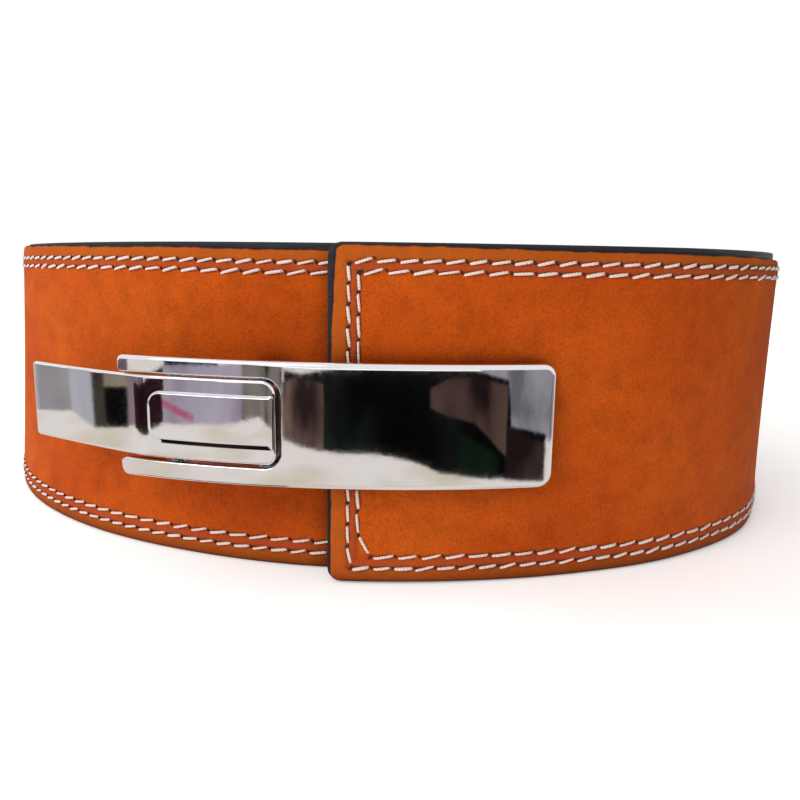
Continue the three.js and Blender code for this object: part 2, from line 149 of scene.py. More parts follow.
def grid_faces(rows, columns, close_columns=False, start=0):
    """Quads of a grid of rows by columns of points; the last column may join the first."""
    wide = columns if close_columns else columns - 1
    row, column = np.meshgrid(np.arange(rows - 1), np.arange(wide), indexing="ij")
    after = (column + 1) % columns
    corners = [row * columns + column, row * columns + after,
               (row + 1) * columns + after, (row + 1) * columns + column]
    return (np.stack([c.ravel() for c in corners], axis=1) + start).tolist()


def set_uv(piece, per_vertex):
    """Gives the piece a UV map from one (u, v) a vertex."""
    layer = piece.data.uv_layers.new(name="UVMap")
    loops = np.empty(len(piece.data.loops), dtype=np.int32)
    piece.data.loops.foreach_get("vertex_index", loops)
    layer.data.foreach_set("uv", per_vertex[loops].astype(np.float32).ravel())


def set_attribute(piece, name, per_vertex):
    """Gives the piece a number for each vertex under that name."""
    attribute = piece.data.attributes.new(name, "FLOAT", "POINT")
    attribute.data.foreach_set("value", per_vertex.astype(np.float32).ravel())


# Distances from an edge, closest together where the edge rounds and the stitch rows sink in.
EDGE_STEPS = np.array([0, 0.12, 0.3, 0.55, 0.85, 1.3, 1.9, 2.6, 3.2, 3.7, 4.1, 4.5, 4.9, 5.3,
                       5.7, 6.2, 6.7, 7.1, 7.5, 8.0, 8.4, 8.8, 9.3, 10.0, 11.0]) / 1000
MIDDLE_STEPS = 16
STRIP_STEP = 0.0022
# A leaning end stands in over the last LEAN_RUN of the strip, more and more from the first of
# these shares of the height to their sum.
LEAN_RUN = 0.012
LEAN_START, LEAN_SPAN = 0.72, 0.25
ROUND_SIDES = 32


def strip_stations(low, high):
    """Distances along the strip: edge steps at both ends and even steps between."""
    count = int((high - low - 2 * EDGE_STEPS[-1]) / STRIP_STEP)
    between = np.linspace(low + EDGE_STEPS[-1], high - EDGE_STEPS[-1], count)
    return np.concatenate([low + EDGE_STEPS[:-1], between, high - EDGE_STEPS[-2::-1]])


def corner_trim(from_end, radius):
    """How far a round corner trims an edge: r minus the root of r2 minus the squared rest."""
    rest = np.clip(radius - from_end, 0, radius)
    return radius - np.sqrt(radius**2 - rest**2)


def strip_piece(name, low_end, high_end, trims, outer, inner, radius=CORNER_RADIUS, lean=0.0,
                marks=None):
    """A layer of the strip between two ends. trims gives how far its lower and upper edges stand
    in at each distance along, lean how far the top corner of the high end stands further in;
    outer and inner give each side's depth from (along, z, distance to the outline). The ring at
    each station runs up the outer side, over the top, down the inner side and back."""
    along = strip_stations(low_end, high_end)[:, None]
    from_end = np.minimum(along - low_end, high_end - along)
    below, above = trims(along)
    trim = corner_trim(from_end, radius)
    low, high = trim + below, HEIGHT - trim - above
    middle = np.linspace(0, 1, MIDDLE_STEPS + 2)[1:-1]
    room = EDGE_STEPS[-1]
    z = np.concatenate([
        low + EDGE_STEPS,
        low + room + middle * (high - low - 2 * room),
        high - EDGE_STEPS[::-1],
    ], axis=1)
    near_high_end = np.clip(1 - (high_end - along) / LEAN_RUN, 0, 1)
    along = along - lean * near_high_end * np.clip((z / HEIGHT - LEAN_START) / LEAN_SPAN, 0, 1)
    from_edge = np.minimum(z - low, high - z)
    from_end = np.broadcast_to(from_end, z.shape)
    # A soft smallest of the two distances keeps the corner's relief round.
    softness = 0.0012
    near = np.minimum(from_edge, from_end)
    far = np.maximum(from_edge, from_end)
    outline = np.maximum(near - softness * 0.3 * np.exp(-(far - near) / softness)
                         * np.clip(near / softness, 0, 1), 0)
    sides = []
    for side in (outer, inner):
        sides.append(belt_point(along, side(along, z, outline), z))
    ring = np.concatenate([sides[0], sides[1][:, ::-1]], axis=1)
    rows, columns = ring.shape[:2]
    half = columns // 2
    faces = grid_faces(rows, columns, close_columns=True)
    for station, flip in ((0, False), (rows - 1, True)):
        first = station * columns
        out = np.arange(half - 1)
        cap = np.stack([first + out, first + out + 1, first + columns - 2 - out,
                        first + columns - 1 - out], axis=1)
        faces += (cap[:, ::-1] if flip else cap).tolist()
    piece = mesh_piece(name, ring, faces)
    double = [np.concatenate([grid, grid[:, ::-1]], axis=1) for grid in (along, z, outline)]
    set_uv(piece, np.stack([double[0].ravel(), double[1].ravel()], axis=1))
    set_attribute(piece, "from_outline", double[2] * 1000)
    for mark, value in (marks or {}).items():
        set_attribute(piece, mark, value(double[0], double[1]))
    piece.data.update()
    return piece


def linear(code):
    """Linear RGBA of an sRGB hex colour."""
    shares = [int(code[i:i + 2], 16) / 255 for i in (1, 3, 5)]
    return [s / 12.92 if s <= 0.04045 else ((s + 0.055) / 1.055) ** 2.4 for s in shares] + [1.0]


def new_material(name):
    """An empty material with its output: returns the material and a function that adds nodes."""
    material = bpy.data.materials.new(name)
    material.use_nodes = True
    tree = material.node_tree
    tree.nodes.clear()

    def add(kind, inputs=None, stops=(), **settings):
        """Adds a shader node, sets its settings, and sets or links each named or numbered
        input, from a socket or from a node's first output in use. A mix's colours are its
        inputs 6 and 7. A ramp's stops are (place, hex colour or grey level)."""
        node = tree.nodes.new("ShaderNode" + kind)
        for key, value in settings.items():
            setattr(node, key, value)
        for key, value in (inputs or {}).items():
            if isinstance(value, bpy.types.Node):
                value = next(output for output in value.outputs if output.enabled)
            if isinstance(value, bpy.types.NodeSocket):
                tree.links.new(value, node.inputs[key])
            else:
                node.inputs[key].default_value = value
        if stops:
            elements = node.color_ramp.elements
            while len(elements) < len(stops):
                elements.new(0.5)
            for element, (place, colour) in zip(elements, stops):
                element.position = place
                element.color = linear(colour) if isinstance(colour, str) else (colour,) * 3 + (1,)
        return node

    return material, add


def bores_cut(piece, centres, radius):
    """Cuts round holes along Y through the piece where the outer winding is."""
    angles = np.linspace(0, 2 * np.pi, ROUND_SIDES + 1)[:-1]
    circle = radius * np.stack([np.cos(angles), np.zeros(ROUND_SIDES), np.sin(angles)], axis=1)
    for centre in centres:
        front, back = (circle + (centre[0], y, centre[1]) for y in HOLE_SPAN)
        faces = grid_faces(2, ROUND_SIDES, close_columns=True)
        first = list(range(ROUND_SIDES))
        faces += [first, [ROUND_SIDES + v for v in first[::-1]]]
        cutter = mesh_piece("prong_hole_cutter", np.stack([back, front]), faces, smooth=False)
        modifier = piece.modifiers.new("prong_hole", "BOOLEAN")
        modifier.operation = "DIFFERENCE"
        modifier.solver = "EXACT"
        modifier.object = cutter
        evaluated = piece.evaluated_get(bpy.context.evaluated_depsgraph_get())
        cut = bpy.data.meshes.new_from_object(evaluated)
        piece.modifiers.clear()
        piece.data = cut
        bpy.data.objects.remove(cutter)


# The two prong holes punched through the outer end, where the hook plate's prongs sit.
HOLE_RADIUS = 0.00355
HOLE_SPACING = 0.0254
BUCKLE_MIDDLE = 0.0498
PLATE_RADIUS = 0.223
PLATE_THICKNESS = 0.0028
PLATE_CROWN_INSET = 0.0131
PLATE_STANDOFF = 0.0076
PRONG_ARC = 0.0444
crown = belt_point(WAIST_LENGTH - PLATE_CROWN_INSET, THICKNESS, BUCKLE_MIDDLE)
PLATE_AXIS = np.array([crown[0], crown[1] - PLATE_STANDOFF + PLATE_RADIUS])
prong_x = PLATE_AXIS[0] + (PLATE_RADIUS - PLATE_THICKNESS / 2) * np.sin(PRONG_ARC / PLATE_RADIUS)
HOLE_CENTRES = [(prong_x, BUCKLE_MIDDLE + side * HOLE_SPACING) for side in (-0.5, 0.5)]
hole_along = WAIST_LENGTH - PLATE_CROWN_INSET - PRONG_ARC
HOLE_SPAN = (belt_point(hole_along, -OVERLAP_GAP / 2, BUCKLE_MIDDLE)[1],
             belt_point(hole_along, THICKNESS * 2, BUCKLE_MIDDLE)[1])

# Leather core: oak-tanned cowhide split, dyed near black, its cut edges sanded and burnished.
# It shows as the dark line round the orange suede and at the overlap edge.
CORE_LOW, CORE_HIGH = 0.0021, 0.0079
CORE_ROUND = 0.0003
core = strip_piece(
    "leather_core_strip", -HIDDEN_END, WAIST_LENGTH, lambda along: (0.0, 0.0),
    lambda along, z, outline: CORE_HIGH - CORE_ROUND * np.exp(-outline / CORE_ROUND),
    lambda along, z, outline: CORE_LOW + CORE_ROUND * np.exp(-outline / CORE_ROUND),
)
bores_cut(core, HOLE_CENTRES, HOLE_RADIUS)

dyed_edge, add = new_material("dyed_leather_edge")
place = add("TexCoord").outputs["Object"]
# Fibres of the cut hide lie in thin layers along the edge, about 0.4 mm apart.
layers = add("Mapping", {"Vector": place, "Scale": (90, 90, 1400)})
fibre = add("TexNoise", {"Vector": layers, "Scale": 1.0, "Detail": 6.0, "Roughness": 0.65})
blotch = add("TexNoise", {"Vector": place, "Scale": 60.0, "Detail": 3.0})
edge_colour = add("ValToRGB", {"Fac": fibre}, stops=[(0.3, "#07070B"), (0.55, "#0F1017"), (0.75, "#1C1A1E")])
edge_colour = add("Mix", {0: blotch, 6: edge_colour, 7: linear("#0F1420")}, data_type="RGBA")
rub = add("MapRange", {"Value": fibre, "From Min": 0.3, "From Max": 0.8, "To Min": 0.52,
                       "To Max": 0.82})
bump = add("Bump", {"Height": fibre, "Strength": 0.5, "Distance": 0.0004})
shader = add("BsdfPrincipled", {
    "Base Color": edge_colour, "Roughness": rub,
    "Normal": bump, "IOR": 1.5, "Specular IOR Level": 0.4})
add("OutputMaterial", {"Surface": shader})
core.data.materials.clear()
core.data.materials.append(dyed_edge)
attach(core, "belt")
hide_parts("leather_core")

# Suede lining: black split suede on the waist side, glued on and caught by the same stitches.
LINING_INSET = 0.0003
STITCH_EDGE_TOP = np.array([5.35, 8.35]) / 1000
STITCH_EDGE_BOTTOM = np.array([5.15, 8.75]) / 1000
STITCH_EDGE_END = np.array([5.85, 8.45]) / 1000
TOP_ROW_DIP = 0.0006
ROW_BELL = 0.00055
ROW_MARGIN = 0.0005
LINING_ROUND, LINING_ROW_DEPTH = 0.0007, 0.00035


def top_dip(along):
    """How much lower the two top rows run on the inner end, easing out over 60 mm."""
    return TOP_ROW_DIP * np.clip(1.5 - along / 0.040, 0, 1)


def row_sink(along, z):
    """How strongly the threads pull the suede in: a bell as wide as ROW_BELL over each row,
    the rows running round the strip at their distances from its top, bottom and end edges."""
    sink = np.zeros(np.shape(z))
    from_end = np.minimum(along + HIDDEN_END, WAIST_LENGTH - along)
    from_top = HEIGHT - z - top_dip(along)
    for top, bottom, end in zip(STITCH_EDGE_TOP, STITCH_EDGE_BOTTOM, STITCH_EDGE_END):
        inside = from_end > end - ROW_MARGIN
        upper = np.where(inside, from_top - top, 1.0)
        lower = np.where(inside, z - bottom, 1.0)
        column = np.where((z > bottom) & (from_top > top), from_end - end, 1.0)
        for distance in (upper, lower, column):
            sink = np.maximum(sink, np.exp(-(distance / ROW_BELL) ** 2))
    return sink


def between_rows(along, z):
    """One between the two rows of a pair and nothing outside them: for each pair a flat-topped
    bell, e to the minus fourth power of the distance from the middle of the pair."""
    from_end = np.minimum(along + HIDDEN_END, WAIST_LENGTH - along)
    from_top = HEIGHT - z - top_dip(along)
    near = np.zeros(np.shape(z))
    for distance, pair in ((from_top, STITCH_EDGE_TOP), (z, STITCH_EDGE_BOTTOM),
                           (from_end, STITCH_EDGE_END)):
        bell = np.exp(-((distance - pair.mean()) / (0.48 * np.ptp(pair))) ** 4)
        clear = ((from_end > STITCH_EDGE_END[0] - ROW_MARGIN)
                 & (from_top > STITCH_EDGE_TOP[0] - ROW_MARGIN)
                 & (z > STITCH_EDGE_BOTTOM[0] - ROW_MARGIN))
        near = np.maximum(near, bell * clear)
    return near


lining = strip_piece(
    "suede_lining_strip", -HIDDEN_END + LINING_INSET, WAIST_LENGTH - LINING_INSET,
    lambda along: (LINING_INSET, LINING_INSET),
    lambda along, z, outline: CORE_LOW,
    lambda along, z, outline: (LINING_ROUND * np.exp(-outline / 0.0005)
                               + LINING_ROW_DEPTH * row_sink(along, z)),
)
bores_cut(lining, HOLE_CENTRES, HOLE_RADIUS)

black_suede, add = new_material("black_split_suede")
place = add("TexCoord").outputs["Object"]
# Brushed nap in patches of a few centimetres, and pile about 0.8 mm long, drawn a little coarse.
patches = add("TexNoise", {"Vector": place, "Scale": 38.0, "Detail": 4.0, "Roughness": 0.6})
pile = add("TexNoise", {"Vector": place, "Scale": 1300.0, "Detail": 3.0, "Roughness": 0.7})
tone = add("Math", {0: patches, 1: pile}, operation="ADD")
tone = add("Math", {0: tone, 1: 0.5}, operation="MULTIPLY")
suede_tone = add("ValToRGB", {"Fac": tone}, stops=[(0.32, "#0C0C11"), (0.5, "#17171E"), (0.68, "#26252D")])
bump = add("Bump", {"Height": pile, "Strength": 0.6, "Distance": 0.0005})
shader = add("BsdfPrincipled", {
    "Base Color": suede_tone, "Roughness": 0.95, "Specular IOR Level": 0.15, "IOR": 1.5,
    "Sheen Weight": 0.35, "Sheen Roughness": 0.5, "Sheen Tint": linear("#5A5C70"),
    "Normal": bump})
add("OutputMaterial", {"Surface": shader})
lining.data.materials.clear()
lining.data.materials.append(black_suede)
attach(lining, "belt")
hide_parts("suede_lining")

# Suede face: orange split suede, napped side out, trimmed a little inside the dark core and
# drawn in along two rows of stitches. Its cut edge is dyed with the core.
FACE_END_INSET = 0.0009
FACE_END_LEAN = 0.0011
FACE_CORNER = 0.0026
FACE_TRIM_LOW = 0.00015
FACE_FOOT_TRIM, FACE_FOOT_START, FACE_FOOT_RUN = 0.00045, 0.06, 0.05
# The relief of its outer side: a sharp and a soft rounding at the outline, each as depth and
# width, the furrow under each row of stitches and the roll between two rows.
FACE_ROUND = (0.0009, 0.00035)
FACE_SAG = (0.00035, 0.0020)
FACE_ROW_DEPTH = 0.0004
FACE_ROLL_RISE = 0.0002
# The upper edge was trimmed by hand: places along the strip, from its inner end round to the
# overlap edge, and how far the orange stands in there, both in millimetres.
FACE_TRIM_PLACES = np.array([-90, 0, 25, 40, 80, 95, 115, 150, 600, 733, 751, 774, 811, 840, 855,
                             881]) / 1000
FACE_TRIM_HIGH = np.array([2.0, 2.0, 1.9, 1.5, 1.4, 1.0, 0.8, 0.5, 0.7, 2.4, 2.1, 1.85, 1.45, 1.15,
                           0.75, 0.65]) / 1000


def face_trims(along):
    """How far the suede stands in along the foot, more near the overlap edge, and along the top."""
    near_edge = np.clip((along - WAIST_LENGTH + FACE_FOOT_START) / FACE_FOOT_RUN, 0, 1)
    return (FACE_TRIM_LOW + FACE_FOOT_TRIM * near_edge,
            np.interp(along, FACE_TRIM_PLACES, FACE_TRIM_HIGH))


def face_relief(along, z, outline):
    """Depth of the suede's outer side."""
    return (THICKNESS - FACE_ROUND[0] * np.exp(-outline / FACE_ROUND[1])
            - FACE_SAG[0] * np.exp(-outline / FACE_SAG[1])
            - FACE_ROW_DEPTH * row_sink(along, z) + FACE_ROLL_RISE * between_rows(along, z))


face = strip_piece(
    "suede_face_strip", -HIDDEN_END + FACE_END_INSET, WAIST_LENGTH - FACE_END_INSET,
    face_trims, face_relief,
    lambda along, z, outline: CORE_HIGH,
    radius=FACE_CORNER, lean=FACE_END_LEAN, marks={"between_rows": between_rows},
)
bores_cut(face, HOLE_CENTRES, HOLE_RADIUS)

orange_suede, add = new_material("orange_split_suede")
place = add("TexCoord").outputs["Object"]
from_outline = add("Attribute", attribute_name="from_outline").outputs["Fac"]
# Dye taken up unevenly over a hand's breadth, nap brushed in patches of 5 to 10 mm, small
# darker flecks where the pile parts, and the pile itself, drawn at about 0.7 mm.
dye = add("TexNoise", {"Vector": place, "Scale": 14.0, "Detail": 3.0, "Roughness": 0.55})
nap = add("TexNoise", {"Vector": place, "Scale": 130.0, "Detail": 5.0, "Roughness": 0.62})
pile = add("TexNoise", {"Vector": place, "Scale": 1400.0, "Detail": 2.0, "Roughness": 0.6})
fleck = add("TexVoronoi", {"Vector": place, "Scale": 420.0, "Randomness": 1.0})
base = add("ValToRGB", {"Fac": dye}, stops=[(0.3, "#A8400A"), (0.5, "#B54A0C"), (0.72, "#C05612")])
nap_tone = add("ValToRGB", {"Fac": nap}, stops=[(0.32, 0.82), (0.5, 0.97), (0.7, 1.08)])
base = add("Mix", {0: 1.0, 6: base, 7: nap_tone}, data_type="RGBA", blend_type="MULTIPLY")
pile_tone = add("ValToRGB", {"Fac": pile}, stops=[(0.3, 0.80), (0.5, 1.0), (0.7, 1.16)])
base = add("Mix", {0: 1.0, 6: base, 7: pile_tone}, data_type="RGBA", blend_type="MULTIPLY")
parting = add("ValToRGB", {"Fac": fleck}, stops=[(0.0, 0.72), (0.16, 0.92), (0.3, 1.0)])
base = add("Mix", {0: 0.8, 6: base, 7: parting}, data_type="RGBA", blend_type="MULTIPLY")
# The margin outside the stitches is worn flat and browner, the roll between two rows is pressed
# and redder, and the cut edge is dyed dark, less widely along the foot.
wander = add("Math", {0: nap, 1: 1.6, 2: -0.8}, operation="MULTIPLY_ADD")
edge_place = add("Math", {0: from_outline, 1: wander}, operation="ADD")
margin = add("MapRange", {"Value": edge_place, "From Min": 3.6, "From Max": 5.0, "To Min": 0.55,
                          "To Max": 0.0})
base = add("Mix", {0: margin, 6: base, 7: linear("#A6561C")}, data_type="RGBA")
rolled = add("Attribute", attribute_name="between_rows").outputs["Fac"]
rolled = add("Math", {0: rolled, 1: 0.55}, operation="MULTIPLY")
base = add("Mix", {0: rolled, 6: base, 7: linear("#9C4224")}, data_type="RGBA")
foot = add("SeparateXYZ", {"Vector": place})
foot = add("MapRange", {"Value": foot.outputs["Z"], "From Min": 0.0, "From Max": 0.02,
                        "To Min": 0.32, "To Max": 0.0})
edge_place = add("Math", {0: edge_place, 1: foot}, operation="ADD")
dyed = add("MapRange", {"Value": edge_place, "From Min": 0.15, "From Max": 0.6, "To Min": 1.0,
                        "To Max": 0.0})
base = add("Mix", {0: dyed, 6: base, 7: linear("#1B1A22")}, data_type="RGBA")
# Painted shade: the suede is drawn redder and darker in the corner under the buckle's metal, more so the
# more nearby surfaces close it in within 10 mm.
painted_shade = add("AmbientOcclusion", {"Distance": 0.010}, samples=6)
painted_shade = add("MapRange", {"Value": painted_shade.outputs["AO"], "From Min": 0.25, "From Max": 0.85,
                           "To Min": 0.95, "To Max": 0.0})
base = add("Mix", {0: painted_shade, 6: base, 7: linear("#380D02")}, data_type="RGBA")
# Painted shadow: a near-black patch on the suede behind the slot and round the base, where the buckle shades
# it.
patch = add("SeparateXYZ", {"Vector": place})
painted_slot_shadow = add("Math", {0: patch.outputs["Y"], 1: 0.0}, operation="LESS_THAN")
for axis, middle, half, fade in (("X", -0.0475, 0.0325, 0.0080), ("Z", 0.0482, 0.0160, 0.0040)):
    away = add("Math", {0: patch.outputs[axis], 1: middle}, operation="SUBTRACT")
    away = add("Math", {0: away}, operation="ABSOLUTE")
    away = add("Math", {0: wander, 1: 0.004, 2: away}, operation="MULTIPLY_ADD")
    away = add("MapRange", {"Value": away, "From Min": half - fade, "From Max": half + 0.0010,
                            "To Min": 1.0, "To Max": 0.0}, interpolation_type="SMOOTHSTEP")
    painted_slot_shadow = add("Math", {0: painted_slot_shadow, 1: away}, operation="MULTIPLY")
base = add("Mix", {0: painted_slot_shadow, 6: base, 7: linear("#1C0D08")}, data_type="RGBA")
height = add("Math", {0: nap, 1: 1.4}, operation="MULTIPLY")
height = add("Math", {0: height, 1: pile}, operation="ADD")
bump = add("Bump", {"Height": height, "Strength": 0.55, "Distance": 0.0004})
shader = add("BsdfPrincipled", {
    "Base Color": base, "Roughness": 0.92, "Specular IOR Level": 0.08, "IOR": 1.5,
    "Sheen Weight": 0.06, "Sheen Roughness": 0.45, "Sheen Tint": linear("#D97838"),
    "Normal": bump})
add("OutputMaterial", {"Surface": shader})
face.data.materials.clear()
face.data.materials.append(orange_suede)
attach(face, "belt")
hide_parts("suede_face")

# Stitches: lockstitch in twisted bonded nylon, white with a pink cast on the face and black
# on the lining. Each stitch dives into a punched hole at both ends, and the black under
# thread shows as a small dark loop in each hole.
THREAD_RADIUS = 0.00046
THREAD_SINK = 0.0004
STITCH_SLANT = 0.00052
STITCH_RISE = 0.0005
STITCH_GAP = 0.0005
STITCH_RINGS = 9
STITCH_SIDES = 7
# Handwork: spread of thickness, length and slant from stitch to stitch, depth of the two lobes
# that the plies form, and half turns of the plies along half a stitch.
SIZE_SPREAD, REACH_SPREAD, SLANT_SPREAD = 0.08, 0.04, 0.35
LOBE_DEPTH, PLY_TURN = 0.11, 2.2
# For each row: its height, spacing, the middle of its first stitch from the overlap edge on the
# outer end, the middle of one stitch on the left piece, from the line of that edge, whether the
# row dips there, and how much its first stitch turns up from the corner hole.
ROWS = [
    dict(height=HEIGHT - STITCH_EDGE_TOP[0], pitch=0.00650, outer=0.0095, left=0.0144, dip=1, turn=0.2),
    dict(height=HEIGHT - STITCH_EDGE_TOP[1], pitch=0.00712, outer=0.0122, left=0.0108, dip=1, turn=0.1),
    dict(height=STITCH_EDGE_BOTTOM[1], pitch=0.00726, outer=0.0155, left=0.0098, dip=0, turn=0.0),
    dict(height=STITCH_EDGE_BOTTOM[0], pitch=0.00648, outer=0.0093, left=0.0107, dip=0, turn=0.06),
]
# For each column at an end: stitch middles from the corner down, then even spacing down to the
# last two, which keep clear of the diagonal stitch that closes the lower corner.
COLUMNS = [
    dict(places=(0.0927, 0.0871, 0.0809), last=(0.0221, 0.01555), count=8),
    dict(places=(0.0902, 0.0844, 0.0776), last=(0.0265, 0.0191), count=6),
]
# Diagonal stitches of the lower corner: from hole to hole, as distance from the end and height.
DIAGONALS = [((0.0057, 0.01156), (0.0068, 0.00643)), ((0.0089, 0.01515), (0.01165, 0.00963))]
CORNER_HOLES = [(0.0062, 0.0953), (0.0088, 0.0929), (0.0067, 0.0054), (0.0120, 0.0088)]


def row_places(row):
    """Distances along the strip of a row's stitch middles: even spacing measured on the outer
    face between the two measured stitches, and on under the overlap at the same spacing."""
    along = np.linspace(-HIDDEN_END, WAIST_LENGTH, 6000)
    points = belt_point(along, THICKNESS, row["height"])
    steps = np.linalg.norm(np.diff(points, axis=0), axis=1)
    length = np.concatenate([[0], np.cumsum(steps)])
    start = np.interp(row["left"], along, length)
    end = np.interp(WAIST_LENGTH - row["outer"], along, length)
    count = int(round((end - start) / row["pitch"]))
    pitch = (end - start) / count
    before = int((start - STITCH_EDGE_END[1] - 0.003) / pitch)
    lengths = start + pitch * np.arange(-before, count + 1)
    return np.interp(lengths, length, along)


def thread_frames(along, z, angle, side_depth, outwards):
    """Middle, running direction, outward direction and cross direction of each stitch, from
    differences of the belt surface. The angle turns the run from along the strip to up it."""
    middle = belt_point(along, side_depth, z)
    step = 1e-4
    ahead = belt_point(along + step, side_depth, z) - middle
    up = belt_point(along, side_depth, z + step) - middle
    ahead /= np.linalg.norm(ahead, axis=1, keepdims=True)
    up /= np.linalg.norm(up, axis=1, keepdims=True)
    out = np.cross(ahead, up)
    toward = belt_point(along, side_depth + step, z) - middle
    out *= np.sign((out * toward).sum(1, keepdims=True)) * outwards
    c, s = np.cos(angle)[:, None], np.sin(angle)[:, None]
    run = s * up - c * ahead
    cross = c * up + s * ahead
    return middle, run, out / np.linalg.norm(out, axis=1, keepdims=True), cross


def recalculate_outwards(piece):
    """Turns every closed shell of the mesh so that its faces point outwards."""
    shape = bmesh.new()
    shape.from_mesh(piece.data)
    bmesh.ops.recalc_face_normals(shape, faces=shape.faces)
    shape.to_mesh(piece.data)
    shape.free()


def thread_mesh(name, frames, length, radius, rise, slant, seed):
    """All stitches of one thread as one mesh. A stitch is a tube along its run: its middle line
    rises as one minus the fourth power of the distance from the middle, it slants across, its
    section has two lobes that turn along it like twisted plies, and it thins at both ends."""
    middle, run, out, cross = frames
    count = len(middle)
    random = np.random.default_rng(seed)
    t = np.linspace(-1, 1, STITCH_RINGS)[None, :, None]
    angle = np.linspace(0, 2 * np.pi, STITCH_SIDES + 1)[None, None, :-1]
    length = np.broadcast_to(length, count)[:, None, None]
    slant = np.broadcast_to(slant, count)[:, None, None]
    size = 1 + SIZE_SPREAD * random.standard_normal((count, 1, 1))
    reach = 1 + REACH_SPREAD * random.standard_normal((count, 1, 1))
    lean = slant * (1 + SLANT_SPREAD * random.standard_normal((count, 1, 1)))
    turn = random.uniform(0, np.pi, (count, 1, 1))
    lobes = 1 + LOBE_DEPTH * np.cos(2 * (angle - PLY_TURN * np.pi * t - turn))
    thinning = np.sqrt(np.clip(1 - 0.80 * np.abs(t - 0.12) ** 4 / 1.12**4, 0.05, 1))
    section = radius * size * lobes * thinning
    lift = rise * (1 - np.abs(t) ** 4) - 0.9 * rise * np.abs(t) ** 10
    one = np.ones((count, STITCH_RINGS, STITCH_SIDES))
    forward = (t * length / 2 * reach) * one
    across = lean * t + section * np.cos(angle)
    upward = lift + section * np.sin(angle)
    points = (middle[:, None, None] + forward[..., None] * run[:, None, None]
              + across[..., None] * cross[:, None, None] + upward[..., None] * out[:, None, None])
    tube = np.array(grid_faces(STITCH_RINGS, STITCH_SIDES, close_columns=True))
    per = STITCH_RINGS * STITCH_SIDES
    starts_at = per * np.arange(count)[:, None]
    faces = (tube[None] + starts_at[..., None]).reshape(-1, 4).tolist()
    first = np.arange(STITCH_SIDES)
    faces += (starts_at + first[None, ::-1]).tolist()
    faces += (starts_at + per - STITCH_SIDES + first[None]).tolist()
    piece = mesh_piece(name, points, faces)
    u = np.broadcast_to((t + 1) / 2 * length, one.shape)
    v = np.broadcast_to(angle / (2 * np.pi), one.shape)
    set_uv(piece, np.stack([u.ravel(), v.ravel()], axis=1))
    recalculate_outwards(piece)
    return piece


def all_stitches():
    """Every stitch of the strip: distance along, height, angle, visible length and slant."""
    rows = []
    for row in ROWS:
        places = row_places(row)
        height = row["height"] - row["dip"] * top_dip(places)
        turns = np.where(places == places.max(), row["turn"], 0.0)
        rows += [(place, z, turn, row["pitch"] - STITCH_GAP, STITCH_SLANT)
                 for place, z, turn in zip(places, height, turns)]
    for end, mirror in ((WAIST_LENGTH, 1), (-HIDDEN_END, -1)):
        for inset, column in zip(STITCH_EDGE_END, COLUMNS):
            between = np.linspace(column["places"][-1], column["last"][0], column["count"] + 2)
            places = list(column["places"]) + list(between[1:-1]) + list(column["last"])
            gaps = -np.gradient(np.array(places))
            rows += [(end - mirror * inset, z, np.pi / 2, gap - STITCH_GAP, STITCH_SLANT * 0.5)
                     for z, gap in zip(places, gaps)]
        for (s1, z1), (s2, z2) in DIAGONALS:
            drop, shift = z1 - z2, (s2 - s1) * 1.1
            rows.append((end - mirror * (s1 + s2) / 2, (z1 + z2) / 2,
                         np.pi / 2 + mirror * np.arctan2(shift, drop), np.hypot(drop, shift), 0.0))
    return np.array(rows).T


stitch_along, stitch_z, stitch_angle, stitch_length, stitch_slant = all_stitches()
face_frames = thread_frames(stitch_along, stitch_z, stitch_angle, THICKNESS - THREAD_SINK, 1)
white_stitches = thread_mesh("white_stitches", face_frames, stitch_length, THREAD_RADIUS,
                             STITCH_RISE, stitch_slant, seed=4)
lining_frames = thread_frames(stitch_along, stitch_z, stitch_angle, 0.00030, -1)
black_stitches = thread_mesh("black_lining_stitches", lining_frames, stitch_length, THREAD_RADIUS,
                             STITCH_RISE, stitch_slant, seed=5)

# The under thread comes up as a small slanting knot in each hole, longer at the corners.
KNOT_RADIUS, KNOT_RISE = 0.00027, 0.00042
KNOT_LENGTH, CORNER_KNOT_LENGTH, CORNER_KNOT_ANGLE = 0.0015, 0.0026, 0.9
corner_along = np.array([WAIST_LENGTH - s for s, z in CORNER_HOLES]
                        + [s - HIDDEN_END for s, z in CORNER_HOLES])
corner_z = np.array([z for s, z in CORNER_HOLES] * 2)
corners = thread_frames(corner_along, corner_z, np.full(len(corner_z), CORNER_KNOT_ANGLE),
                        THICKNESS - THREAD_SINK, 1)
middle, run, out, cross = face_frames
holes = middle + run * (stitch_length / 2 + 0.0003)[:, None] + cross * stitch_slant[:, None] * 0.5
loop_frames = tuple(np.concatenate(pair) for pair in zip(
    (holes, 0.5 * run - 0.87 * cross, out, 0.87 * run + 0.5 * cross), corners))
loop_length = np.concatenate([np.full(len(holes), KNOT_LENGTH),
                              np.full(len(corner_z), CORNER_KNOT_LENGTH)])
black_loops = thread_mesh("black_thread_loops", loop_frames, loop_length, KNOT_RADIUS, KNOT_RISE,
                          0.0, seed=6)


